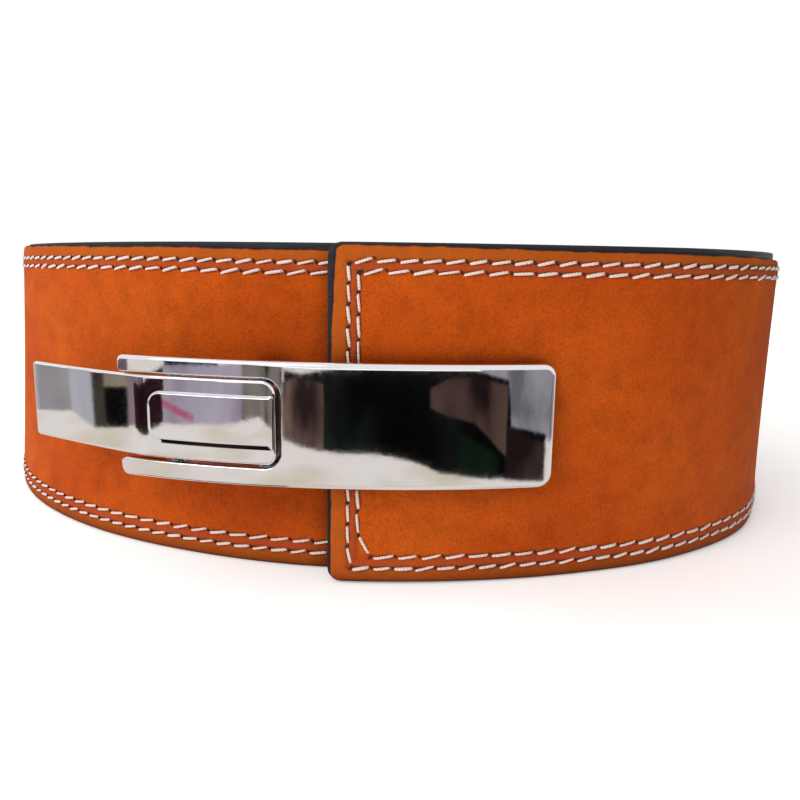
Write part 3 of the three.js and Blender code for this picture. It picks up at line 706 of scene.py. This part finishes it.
def thread_material(name, dark, light, sheen):
    """Bonded nylon thread: plies show as a fine slanting stripe about 0.9 mm apart, with a soft sheen; the
    darker colour in the grooves between the plies is painted shade."""
    material, add = new_material(name)
    uv = add("UVMap", uv_map="UVMap").outputs["UV"]
    split = add("SeparateXYZ", {"Vector": uv})
    along = add("Math", {0: split.outputs["X"], 1: 1 / 0.0009}, operation="MULTIPLY")
    twist = add("Math", {0: along, 1: split.outputs["Y"]}, operation="ADD")
    phase = add("Math", {0: twist, 1: 2 * np.pi}, operation="MULTIPLY")
    wave = add("Math", {0: phase}, operation="SINE")
    level = add("MapRange", {"Value": wave, "From Min": -1.0, "From Max": 1.0})
    # The dark stop is painted shade in the grooves between the plies; the light stop is the thread's own
    # colour.
    colour = add("ValToRGB", {"Fac": level}, stops=[(0.0, dark), (0.45, light), (1.0, light)])
    bump = add("Bump", {"Height": level, "Strength": 0.35, "Distance": 0.0002})
    shader = add("BsdfPrincipled", {
        "Base Color": colour, "Roughness": 0.55, "IOR": 1.53, "Sheen Weight": sheen,
        "Normal": bump})
    add("OutputMaterial", {"Surface": shader})
    return material


white_thread = thread_material("white_nylon_thread", "#D0AFA7", "#E8D5CF", 0.2)
black_thread = thread_material("black_nylon_thread", "#040304", "#0C0A0B", 0.0)
for piece, material, slot in ((white_stitches, white_thread, "suede_face"),
                              (black_loops, black_thread, "suede_face"),
                              (black_stitches, black_thread, "suede_lining")):
    piece.data.materials.append(material)
    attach(piece, "belt")

# Base plate, its screws and both pins: plain zinc-plated steel under the lever, cut, drilled
# and bent. They are nearly hidden, and keep the shape that the frame gives them.
zinc, add = new_material("zinc_plated_steel")
place = add("TexCoord").outputs["Object"]
cloud = add("TexNoise", {"Vector": place, "Scale": 160.0, "Detail": 5.0, "Roughness": 0.6})
brushed = add("Mapping", {"Vector": place, "Scale": (250, 250, 4000)})
lines = add("TexNoise", {"Vector": brushed, "Scale": 1.0, "Detail": 3.0})
tint = add("ValToRGB", {"Fac": cloud}, stops=[(0.3, "#8F9296"), (0.55, "#A9ABAE"), (0.8, "#B9BBB8")])
gloss = add("MapRange", {"Value": lines, "From Min": 0.3, "From Max": 0.7, "To Min": 0.26,
                         "To Max": 0.42})
bump = add("Bump", {"Height": lines, "Strength": 0.15, "Distance": 0.0001})
shader = add("BsdfPrincipled", {
    "Base Color": tint, "Metallic": 1.0, "Roughness": gloss,
    "Normal": bump})
add("OutputMaterial", {"Surface": shader})
for node in ("base_plate", "base_screw_1", "base_screw_2", "base_screw_3", "base_screw_4",
             "base_pin", "link_pin"):
    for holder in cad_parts[node].material_slots:
        holder.material = zinc

# Hook plate: a cast plate, ground, polished and chromed, bent round the belt. Its left half is
# cut out for the lever and leaves two arms; two prongs and the link pin's ears stand behind.
PLATE_LENGTH = 0.1323
PLATE_RIGHT = 0.0527
PLATE_LEFT = PLATE_RIGHT - PLATE_LENGTH
PLATE_HALF = 0.0368 / 2
PLATE_EDGE = 0.0016
SLOT_END = PLATE_LEFT + 0.0526
SLOT_HALF = 0.0272 / 2
SLOT_LOW, SLOT_HIGH = -0.0127, 0.0132
ARM_END = PLATE_LEFT + 0.0006
SLOT_EASING = 0.33
ARM_NARROWING = 0.36
OUTLINE_STEP = 0.0007
FILL_STEP = 0.0022


def rounded_outline(corners):
    """A closed outline, evenly spaced, from corners (x, z, radius): straight lines between arcs
    that touch both sides of each corner."""
    corners = np.array(corners, float)
    places = corners[:, :2]
    stretches = []
    for index, radius in enumerate(corners[:, 2]):
        here = places[index]
        back = places[index - 1] - here
        ahead = places[(index + 1) % len(places)] - here
        back /= np.linalg.norm(back)
        ahead /= np.linalg.norm(ahead)
        half = np.arccos(np.clip(back @ ahead, -1, 1)) / 2
        reach = radius / np.tan(half)
        centre = here + (back + ahead) / np.linalg.norm(back + ahead) * radius / np.sin(half)
        first, last = here + back * reach - centre, here + ahead * reach - centre
        start = np.arctan2(first[1], first[0])
        sweep = (np.arctan2(last[1], last[0]) - start + np.pi) % (2 * np.pi) - np.pi
        angles = start + sweep * np.linspace(0, 1, max(int(radius * abs(sweep) / 0.0001), 6))
        stretches.append(centre + radius * np.stack([np.cos(angles), np.sin(angles)], axis=1))
    line = np.concatenate(stretches + [stretches[0][:1]])
    keep = np.concatenate([[True], np.linalg.norm(np.diff(line, axis=0), axis=1) > 1e-9])
    line = line[keep]
    lengths = np.concatenate([[0], np.cumsum(np.linalg.norm(np.diff(line, axis=0), axis=1))])
    count = int(lengths[-1] / OUTLINE_STEP)
    even = np.linspace(0, lengths[-1], count, endpoint=False)
    return np.stack([np.interp(even, lengths, line[:, k]) for k in (0, 1)], axis=1)


def inward(outline):
    """Unit directions into a counterclockwise outline, square to the chord of its neighbours."""
    chord = np.roll(outline, -1, axis=0) - np.roll(outline, 1, axis=0)
    chord /= np.linalg.norm(chord, axis=1, keepdims=True)
    return np.stack([-chord[:, 1], chord[:, 0]], axis=1)


def inside_outline(points, outline):
    """Which points lie inside an outline, by counting the sides that a ray to the right meets."""
    x, z = points[:, :1], points[:, 1:]
    ax, az = outline[None, :, 0], outline[None, :, 1]
    bx, bz = np.roll(ax, -1, axis=1), np.roll(az, -1, axis=1)
    spans = (az > z) != (bz > z)
    with np.errstate(divide="ignore", invalid="ignore"):
        crossing = ax + (z - az) * (bx - ax) / (bz - az)
    return (spans & (x < crossing)).sum(axis=1) % 2 == 1


def filled(outline, step):
    """Triangles over an outline with even points inside, so that the flat field bends well."""
    low, high = outline.min(0), outline.max(0)
    xs = np.arange(low[0] + step / 2, high[0], step)
    zs = np.linspace(low[1], high[1], max(int((high[1] - low[1]) / step), 3) + 2)[1:-1]
    field = np.stack([g.ravel() for g in np.meshgrid(xs, zs, indexing="ij")], axis=1)
    nearest = np.sqrt(((field[:, None] - outline[None]) ** 2).sum(-1)).min(1)
    field = field[inside_outline(field, outline) & (nearest > step * 0.45)]
    count = len(outline)
    edges = [(i, (i + 1) % count) for i in range(count)]
    points = [tuple(p) for p in np.concatenate([outline, field])]
    result = delaunay_2d_cdt(points, edges, [], 1, 1e-9)
    return np.array([tuple(p) for p in result[0]]), [list(f) for f in result[2]]


def slab(name, outline, place, steps, weight=1.0):
    """A closed slab over a flat outline. steps are (inset, depth) pairs from the front field
    over the rim to the back field, depth a number or a function of x; weight scales the inset
    along the outline; place turns (x, z, depth) into the frame."""
    direction = inward(outline) * np.broadcast_to(weight, len(outline))[:, None]

    def placed(flat, depth):
        deep = depth(flat[:, 0]) if callable(depth) else np.full(len(flat), depth)
        return place(flat[:, 0], flat[:, 1], deep)

    flat, faces = filled(outline + direction * steps[0][0], FILL_STEP)
    count = len(outline)
    points, polygons = [placed(flat, steps[0][1])], list(faces)
    offset = len(flat)
    index = np.arange(count)
    previous = index
    for inset, depth in steps[1:]:
        points.append(placed(outline + direction * inset, depth))
        current = offset + index
        quads = [previous, current, np.roll(current, -1), np.roll(previous, -1)]
        polygons += np.stack(quads, axis=1).tolist()
        previous = current
        offset += count
    back_flat, back_faces = filled(outline + direction * steps[-1][0], FILL_STEP)
    extra = back_flat[count:]
    points.append(placed(extra, steps[-1][1]))
    renumber = np.concatenate([previous, offset + np.arange(len(extra))])
    polygons += [renumber[face[::-1]].tolist() for face in back_faces]
    return mesh_piece(name, np.concatenate(points), polygons)


def plate_place(arc, z, depth):
    """A point of the hook plate: round an upright axis, arc rightwards from the crown, depth
    inwards from the front, z from the buckle's middle."""
    turn = arc / PLATE_RADIUS
    reach = PLATE_RADIUS - depth
    return np.stack([PLATE_AXIS[0] + reach * np.sin(turn), PLATE_AXIS[1] - reach * np.cos(turn),
                     BUCKLE_MIDDLE + z], axis=-1)


def round_steps(radius, count):
    """(inset, depth) pairs of a quarter round from the flat field out to the rim, after a narrow
    flat ring that keeps the field's shading flat."""
    angles = np.linspace(np.pi / 2, 0, count)
    return [(radius + 0.0003, 0.0)] + [(radius * (1 - np.cos(a)), radius * (1 - np.sin(a)))
                                       for a in angles]


plate_outline = rounded_outline([
    (PLATE_RIGHT, -PLATE_HALF, 0.0046),
    (PLATE_RIGHT, PLATE_HALF, 0.0038),
    (ARM_END, PLATE_HALF, 0.0018),
    (ARM_END, SLOT_HIGH, 0.0016),
    (SLOT_END, SLOT_HIGH, 0.0050),
    (SLOT_END, SLOT_LOW, 0.0050),
    (ARM_END, SLOT_LOW, 0.0019),
    (ARM_END, -PLATE_HALF, 0.0028),
])
# The slot's edge is only eased; the outer edge is fully rounded, less so along the arms.
slot_near = (plate_outline[:, 0] < SLOT_END + 0.0010)
slot_far = np.clip((np.abs(plate_outline[:, 1]) - SLOT_HALF - 0.0002) / 0.0020, 0, 1)
arm_share = np.clip((SLOT_END + 0.010 - plate_outline[:, 0]) / 0.020, 0, 1)
plate_weight = np.where(slot_near, SLOT_EASING + (1 - SLOT_EASING) * slot_far, 1.0)
plate_weight *= 1 - ARM_NARROWING * arm_share * slot_far
hook_cast = slab("hook_plate_cast", plate_outline, plate_place,
                 round_steps(PLATE_EDGE, 9) + [(0.0, PLATE_THICKNESS - 0.0003),
                                               (0.0003, PLATE_THICKNESS)], weight=plate_weight)

# Lever: a thick cast bar, pinned at its right end, bent towards the belt and thinning to the
# finger end, with a raised panel cast on its front. Its path repeats the CAD part's.
LEVER_START = PLATE_LEFT + 0.0536 - 0.0011
LEVER_END = -0.0012
LEVER_HALF = 0.0245 / 2
LEVER_RISE = 0.0005
LEVER_THICKNESS = 0.0089
FINGER_THICKNESS = 0.0032
LEVER_EDGE = 0.0007
LEVER_LEGS = [(0.041, 0.041 / PLATE_RADIUS), (0.005, np.radians(11)), (0.050, np.radians(6))]
LEVER_LENGTH = sum(run for run, turn in LEVER_LEGS)
LINK_RUN, LINK_DEPTH, LINK_EYE, LINK_BORE = 0.035, 0.0052, 0.00315, 0.00205
TAPER_RUN = (0.03815, 0.05015)


def lever_place(x, z, depth):
    """A point of the lever: x is minus the run leftwards from its pinned end. The path goes
    along each leg by its chord, turning evenly; depth is square to the path, inwards."""
    run = np.clip(-x, 0, None)
    start = plate_place(np.array(LEVER_START), 0.0, 0.0)
    px = np.full(np.shape(x), start[0])
    py = np.full(np.shape(x), start[1])
    heading = np.full(np.shape(x), np.pi + LEVER_START / PLATE_RADIUS)
    for length, turn in LEVER_LEGS:
        part = np.clip(run, 0, length)
        turned = turn * part / length
        chord = 2 * np.sin(turned / 2) * length / turn
        px = px + chord * np.cos(heading - turned / 2)
        py = py + chord * np.sin(heading - turned / 2)
        heading = heading - turned
        run = run - part
    return np.stack([px + depth * np.sin(heading), py - depth * np.cos(heading),
                     BUCKLE_MIDDLE + LEVER_RISE + z], axis=-1)


def lever_back(x, rise=0.0):
    """Depth of the lever's back: thick round the pins, easing down to the finger end."""
    t = np.clip((-x - TAPER_RUN[0]) / (TAPER_RUN[1] - TAPER_RUN[0]), 0, 1)
    ease = t * t * (3 - 2 * t)
    return LEVER_THICKNESS + (FINGER_THICKNESS - LEVER_THICKNESS) * ease - rise


lever_outline = rounded_outline([
    (LEVER_END, -LEVER_HALF, 0.0030),
    (LEVER_END, LEVER_HALF, 0.0040),
    (-LEVER_LENGTH, LEVER_HALF, 0.0014),
    (-LEVER_LENGTH, -LEVER_HALF, 0.0014),
])
lever_cast = slab("lever_cast", lever_outline, lever_place,
                  round_steps(LEVER_EDGE, 8) + [(0.0, lambda x: lever_back(x, 0.0006)),
                                                (0.0002, lambda x: lever_back(x, 0.0002)),
                                                (0.0006, lever_back)])

# The panel on the lever: flat top, bevelled sides, a rounded left end, and a right end that
# runs out with the lever's.
PANEL_LEFT, PANEL_RIGHT = -0.0415, LEVER_END - 0.0005
PANEL_HALF = 0.0158 / 2
PANEL_RAISE = 0.0010
PANEL_BEVEL = 0.0017
PANEL_TOP_NARROWING = 0.60
panel_outline = rounded_outline([
    (PANEL_RIGHT, -PANEL_HALF, 0.0004),
    (PANEL_RIGHT, PANEL_HALF, 0.0004),
    (PANEL_LEFT, PANEL_HALF, 0.0050),
    (PANEL_LEFT, -PANEL_HALF, 0.0050),
])
# The bevel is narrower along the top, and runs out at the right end.
panel_weight = (np.clip((PANEL_RIGHT - panel_outline[:, 0]) / 0.0012, 0.12, 1.0)
                * (1 - PANEL_TOP_NARROWING * np.clip((panel_outline[:, 1] - 0.003) / 0.004, 0, 1)))
panel = slab("lever_panel", panel_outline, lever_place, [
    (PANEL_BEVEL + 0.0003, -PANEL_RAISE),
    (PANEL_BEVEL, -PANEL_RAISE),
    (PANEL_BEVEL - 0.00025, -PANEL_RAISE + 0.00014),
    (0.0003, -0.00014),
    (0.0001, -0.00004),
    (0.0, 0.0002),
    (0.0, 0.0012),
], weight=panel_weight)

# Behind the hook plate: two ears that carry the link pin, and two straight prongs.
EAR_THICKNESS = 0.0034
EAR_FOOT = 0.0050
PRONG_RADIUS = 0.00275
PRONG_GRIP = 0.0085
PRONG_TIP = 0.0016
link_eye = lever_place(np.array(-LINK_RUN), 0.0, np.array(LINK_DEPTH))[:2]


def ear_mesh(name, low, high):
    """One ear: the hull of a round eye and its foot in the plate, bored for the pin, between two
    heights. Each point of the outline is matched with the point of the bore at its own angle."""
    arc = LEVER_START - LINK_RUN
    feet = np.array([plate_place(np.array(arc + s * EAR_FOOT), 0.0, PLATE_THICKNESS / 2)[:2]
                     for s in (-1, 1)])
    towards = link_eye - feet.mean(0)
    facing = np.arctan2(towards[1], towards[0])
    angles = facing + np.linspace(-np.pi / 2, np.pi / 2, 33)
    eye = link_eye + LINK_EYE * np.stack([np.cos(angles), np.sin(angles)], axis=1)
    share = np.linspace(0, 1, 9)[1:-1, None]
    left, right = feet if eye[0][0] > link_eye[0] else feet[::-1]
    outline = np.concatenate([
        right[None], right + (eye[0] - right) * share, eye,
        eye[-1] + (left - eye[-1]) * share, left[None], left + (right - left) * share])
    offset = outline - link_eye
    turn = np.arctan2(offset[:, 1], offset[:, 0])
    bore = link_eye + LINK_BORE * np.stack([np.cos(turn), np.sin(turn)], axis=1)
    bevel = 0.0004
    middle = outline.mean(0)
    inwards = middle - outline
    small = outline + inwards / np.linalg.norm(inwards, axis=1, keepdims=True) * bevel
    rings = [(bore, low), (small, low), (outline, low + bevel), (outline, high - bevel),
             (small, high), (bore, high), (bore, low)]
    points = np.array([[(x, y, z) for x, y in ring] for ring, z in rings[:-1]])
    count = len(outline)
    faces = grid_faces(len(rings), count, close_columns=True)
    faces = [[v % (count * (len(rings) - 1)) for v in face] for face in faces]
    piece = mesh_piece(name, points, faces)
    recalculate_outwards(piece)
    return piece


ears = [ear_mesh(f"hook_ear_{i + 1}", low, low + EAR_THICKNESS) for i, low in enumerate(
    (BUCKLE_MIDDLE - SLOT_HALF - EAR_THICKNESS, BUCKLE_MIDDLE + SLOT_HALF))]


def prong_mesh(name, z, root_y, length):
    """A prong: a rod straight back along Y, its tip a quarter of an ellipse."""
    tip = np.linspace(0, np.pi / 2, 7)
    reach = np.concatenate([[0.0], length - PRONG_TIP * (1 - np.sin(tip[:-1]))])
    radius = np.concatenate([[PRONG_RADIUS], PRONG_RADIUS * np.cos(tip[:-1])])
    angle = np.linspace(0, 2 * np.pi, ROUND_SIDES + 1)[:-1]
    x = prong_x + radius[:, None] * np.cos(angle)
    up = z + radius[:, None] * np.sin(angle)
    y = np.broadcast_to((root_y + reach)[:, None], x.shape)
    faces = grid_faces(len(reach), ROUND_SIDES, close_columns=True)
    count = len(reach) * ROUND_SIDES
    faces += [list(range(ROUND_SIDES))[::-1], list(range(count - ROUND_SIDES, count))]
    piece = mesh_piece(name, np.stack([x, y, up], axis=-1), faces)
    recalculate_outwards(piece)
    return piece


prong_root = plate_place(np.array(PRONG_ARC), 0.0, PLATE_THICKNESS / 2)
prong_face = belt_point(hole_along, THICKNESS, BUCKLE_MIDDLE)[1]
prongs = [prong_mesh(f"hook_prong_{i + 1}", BUCKLE_MIDDLE + side * HOLE_SPACING, prong_root[1],
                     prong_face - prong_root[1] + PRONG_GRIP) for i, side in enumerate((-0.5, 0.5))]

chrome, add = new_material("polished_chrome")
place = add("TexCoord").outputs["Object"]
# The castings were ground by hand, so the polish waves a little over 15 to 30 mm; pits and
# wipe marks are finer than half a millimetre.
waves = add("TexNoise", {"Vector": place, "Scale": 45.0, "Detail": 1.0})
pits = add("TexNoise", {"Vector": place, "Scale": 900.0, "Detail": 4.0, "Roughness": 0.7})
bump = add("Bump", {"Height": waves, "Strength": 0.18, "Distance": 0.0004})
fine = add("Bump", {"Height": pits, "Strength": 0.03, "Distance": 0.0001, "Normal": bump})
haze = add("MapRange", {"Value": pits, "From Min": 0.45, "From Max": 0.75, "To Min": 0.035,
                        "To Max": 0.075})
shader = add("BsdfPrincipled", {
    "Base Color": linear("#E4E3E6"), "Metallic": 1.0, "Roughness": haze,
    "Normal": fine})
add("OutputMaterial", {"Surface": shader})
for piece in [hook_cast] + ears + prongs:
    piece.data.materials.append(chrome)
    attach(piece, "hook_plate")
for piece in (lever_cast, panel):
    piece.data.materials.append(chrome)
    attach(piece, "lever")
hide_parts("hook_plate")
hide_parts("lever")

# The studio: white paper below and all round, soft light from the front left, and a dark flag
# on the right that keeps that side of the belt a little darker, as in the photo.
paper, add = new_material("white_paper_floor")
place = add("TexCoord").outputs["Object"]
fleck = add("TexNoise", {"Vector": place, "Scale": 3.0, "Detail": 2.0})
tone = add("ValToRGB", {"Fac": fleck}, stops=[(0.3, "#F4F4F3"), (0.7, "#FAFAF9")])
shader = add("BsdfPrincipled", {"Base Color": tone, "Roughness": 0.9, "Emission Color": tone,
                                "Emission Strength": 0.30})
add("OutputMaterial", {"Surface": shader})
floor = mesh_piece("floor", [(-6, -6, 0), (6, -6, 0), (6, 6, 0), (-6, 6, 0)], [(0, 1, 2, 3)])
floor.data.materials.append(paper)

world = bpy.data.worlds.new("studio")
bpy.context.scene.world = world
world.use_nodes = True
world.node_tree.nodes["Background"].inputs["Color"].default_value = (1.0, 1.0, 1.0, 1.0)
world.node_tree.nodes["Background"].inputs["Strength"].default_value = 1.0


def soft_light(name, place, aim, size, watts):
    """A rectangular soft light at a place, turned to its aim."""
    lamp = bpy.data.lights.new(name, "AREA")
    lamp.shape = "RECTANGLE"
    lamp.size, lamp.size_y = size
    lamp.energy = watts
    holder = bpy.data.objects.new(name, lamp)
    holder.location = place
    holder.rotation_euler = (Vector(aim) - Vector(place)).to_track_quat("-Z", "Y").to_euler()
    bpy.context.scene.collection.objects.link(holder)
    return holder


soft_light("key_softbox", (-0.7, -0.9, 0.9), (0, 0, 0.05), (0.8, 0.6), 6)

# The flag: a black cloth that takes light from the right side, seen by no mirror or camera.
flag, add = new_material("black_flag_cloth")
shader = add("BsdfDiffuse", {"Color": (0.0, 0.0, 0.0, 1.0)})
add("OutputMaterial", {"Surface": shader})
flag_card = mesh_piece("flag_card", [(0.42, -0.75, 0.0), (0.62, 0.35, 0.0), (0.62, 0.35, 0.9),
                                     (0.42, -0.75, 0.9)], [(0, 1, 2, 3)], smooth=False)
flag_card.data.materials.append(flag)
flag_card.visible_camera = flag_card.visible_glossy = False

# Glowing cards and cloths round the buckle: painted reflections for the chrome to mirror. They show in
# mirrors alone, so that they neither hide nor shade the belt.


def upright(foot, low, high):
    """Two rows of points over a foot line of (x, y) places, at two heights, each one number or
    one a place."""
    foot = np.array(foot, float)
    return np.stack([np.column_stack([foot, np.broadcast_to(h, len(foot))]) for h in (low, high)])


def card(name, points, stops, grain=18.0):
    """A glowing sheet through two rows of points, a painted reflection, its tone in soft patches between the
    stops' colours.
    """
    piece = mesh_piece(name, points, grid_faces(2, points.shape[1]), smooth=False)
    material, add = new_material(name + "_cloth")
    place = add("TexCoord").outputs["Object"]
    tall = add("Mapping", {"Vector": place, "Scale": (1.0, 1.0, 0.6)})
    patches = add("TexNoise", {"Vector": tall, "Scale": grain, "Detail": 3.0, "Roughness": 0.5})
    tone = add("ValToRGB", {"Fac": patches}, stops=stops)
    glow = add("Emission", {"Color": tone})
    add("OutputMaterial", {"Surface": glow})
    piece.data.materials.append(material)
    piece.visible_camera = piece.visible_diffuse = piece.visible_shadow = False
    piece.visible_transmission = piece.visible_volume_scatter = False
    return piece


# In front of the hook plate: a dark room, browner at both sides, with a green patch at its foot.
card("dark_front_card", upright(
    [(-0.099, -0.325), (-0.077, -0.314), (-0.043, -0.304), (-0.001, -0.307), (0.025, -0.295),
     (0.040, -0.283), (0.052, -0.266), (0.074, -0.258), (0.098, -0.244), (0.101, -0.2425),
     (0.124, -0.230)],
    0.0, (0.038, 0.038, 0.044, 0.047, 0.047, 0.048, 0.050, 0.050, 0.046, 0.025, 0.022)),
     [(0.40, "#030303"), (0.52, "#070808"), (0.60, "#101614"), (0.70, "#262C2A")])
card("brown_side_card", upright(
    [(-0.098, -0.320), (-0.076, -0.309), (-0.050, -0.301)], 0.001, (0.032, 0.037, 0.036)),
     [(0.36, "#2B1D1D"), (0.48, "#5A4740"), (0.60, "#7A6459"), (0.70, "#3A2828")], grain=30.0)
card("brown_shoulder_card", upright(
    [(0.043, -0.272), (0.055, -0.261), (0.074, -0.253), (0.096, -0.241)],
    (0.030, 0.028, 0.027, 0.012), (0.040, 0.046, 0.047, 0.044)),
     [(0.38, "#1C1312"), (0.50, "#4A3832"), (0.66, "#5D4A42")], grain=26.0)
card("green_foot_card", upright([(0.063, -0.258), (0.090, -0.245)], 0.001, (0.022, 0.012)),
     [(0.40, "#0D1A10"), (0.60, "#1D3222")], grain=30.0)
card("brown_foot_card", upright([(0.096, -0.241), (0.122, -0.227)], 0.001, (0.026, 0.018)),
     [(0.40, "#1E1514"), (0.60, "#3C302C")], grain=30.0)
card("grey_right_card", upright([(0.12, -0.36), (0.17, -0.30), (0.22, -0.25), (0.27, -0.17)],
                                0.0, 0.060),
     [(0.35, "#6B6870"), (0.46, "#98959C"), (0.7, "#AFADB3")], grain=24.0)

# Before the lever and its panel: a pale wall with a dark rail on it and a pink band across.
card("brown_wall_card", upright(
    [(-0.102, -0.328), (-0.125, -0.345), (-0.153, -0.371), (-0.167, -0.352)], 0.0, 0.042),
     [(0.40, "#231E1C"), (0.45, "#736A62"), (0.7, "#8C837B")], grain=48.0)
wall = [(-0.167, -0.352), (-0.183, -0.322), (-0.214, -0.304), (-0.238, -0.283)]
card("lilac_wall_card", upright(wall, 0.0, 0.036),
     [(0.34, "#857A8E"), (0.46, "#A89EAC"), (0.70, "#B8B1BC")])
card("dark_rail_card", upright(wall[1:], 0.036, 0.046), [(0.4, "#0C0F13"), (0.6, "#1E2226")])
card("pink_band_card", upright([(-0.233, -0.277), (-0.203, -0.300)], (0.0127, 0.0035),
                               (0.0176, 0.0082)), [(0.4, "#A84A68"), (0.6, "#BE7088")])
card("maroon_card", upright(
    [(-0.278, -0.185), (-0.256, -0.204), (-0.237, -0.228), (-0.236, -0.262), (-0.239, -0.283)],
    0.0, (0.028, 0.028, 0.030, 0.034, 0.036)), [(0.4, "#210E14"), (0.6, "#35181F")])
card("mauve_card", upright([(-0.300, -0.150), (-0.287, -0.180), (-0.264, -0.206), (-0.243, -0.232)],
                           0.0, 0.044), [(0.4, "#6C5C62"), (0.6, "#8E7E84")])
card("black_card", upright([(-0.292, -0.1495), (-0.2845, -0.171)], 0.0, 0.025),
     [(0.4, "#050507"), (0.6, "#0A0A0D")])
card("tan_rail_card", upright([(-0.292, -0.1495), (-0.2845, -0.171)], 0.025, 0.033),
     [(0.4, "#7E735C"), (0.6, "#9D9280")])
card("olive_card", upright([(-0.2975, -0.139), (-0.292, -0.1495)], 0.0, 0.036),
     [(0.4, "#332E2B"), (0.6, "#4B4538")])
card("pale_left_card", upright([(-0.356, -0.119), (-0.2975, -0.139)], 0.0, 0.050),
     [(0.4, "#B0AEB4"), (0.6, "#BDBBC2")])
card("grey_left_card", upright([(-0.370, -0.081), (-0.356, -0.119)], 0.0, 0.040),
     [(0.4, "#8F8A8C"), (0.6, "#A3A0A2")])
card("pale_end_card", upright([(-0.372, -0.02), (-0.370, -0.081)], 0.0, 0.050),
     [(0.4, "#B4B2B8"), (0.6, "#C6C4CA")])

# Glowing sheets on the ground, painted reflections for the chrome: a cream one, and a dark strip right under
# the buckle that the lower bevels mirror as a dark line.
card("cream_ground_card", np.array([[(-0.9, 0.15, 0.0006), (0.5, 0.15, 0.0006)],
                                    [(-0.9, -0.7, 0.0006), (0.5, -0.7, 0.0006)]]),
     [(0.35, "#DDD2BC"), (0.52, "#EFE8E0"), (0.7, "#F4EFEA")], grain=12.0)
card("dark_strip_reflection_card", np.array([[(-0.105, -0.131, 0.0010), (-0.030, -0.134, 0.0010)],
                                 [(-0.105, -0.149, 0.0010), (-0.030, -0.153, 0.0010)]]),
     [(0.4, "#141010"), (0.6, "#2A2422")])

# Camera at the photo's angle, fitted to the belt's corners in the photo.
PHOTO_SIDE = 800
FOCAL_PIXELS = 740
CAMERA_PLACE = (0.010294, -0.343305, 0.094011)
CAMERA_PITCH, CAMERA_ROLL = 0.17458, 0.01536
lens = bpy.data.cameras.new("photo_camera")
lens.sensor_width = 36.0
lens.lens = FOCAL_PIXELS / PHOTO_SIDE * lens.sensor_width
lens.clip_start = 0.01
camera = bpy.data.objects.new("photo_camera", lens)
turn = Matrix.Rotation(np.pi / 2 - CAMERA_PITCH, 4, "X") @ Matrix.Rotation(CAMERA_ROLL, 4, "Z")
camera.matrix_world = Matrix.Translation(CAMERA_PLACE) @ turn
bpy.context.scene.collection.objects.link(camera)
bpy.context.scene.camera = camera
bpy.context.scene.view_settings.view_transform = "Standard"
bpy.context.scene.view_settings.look = "None"
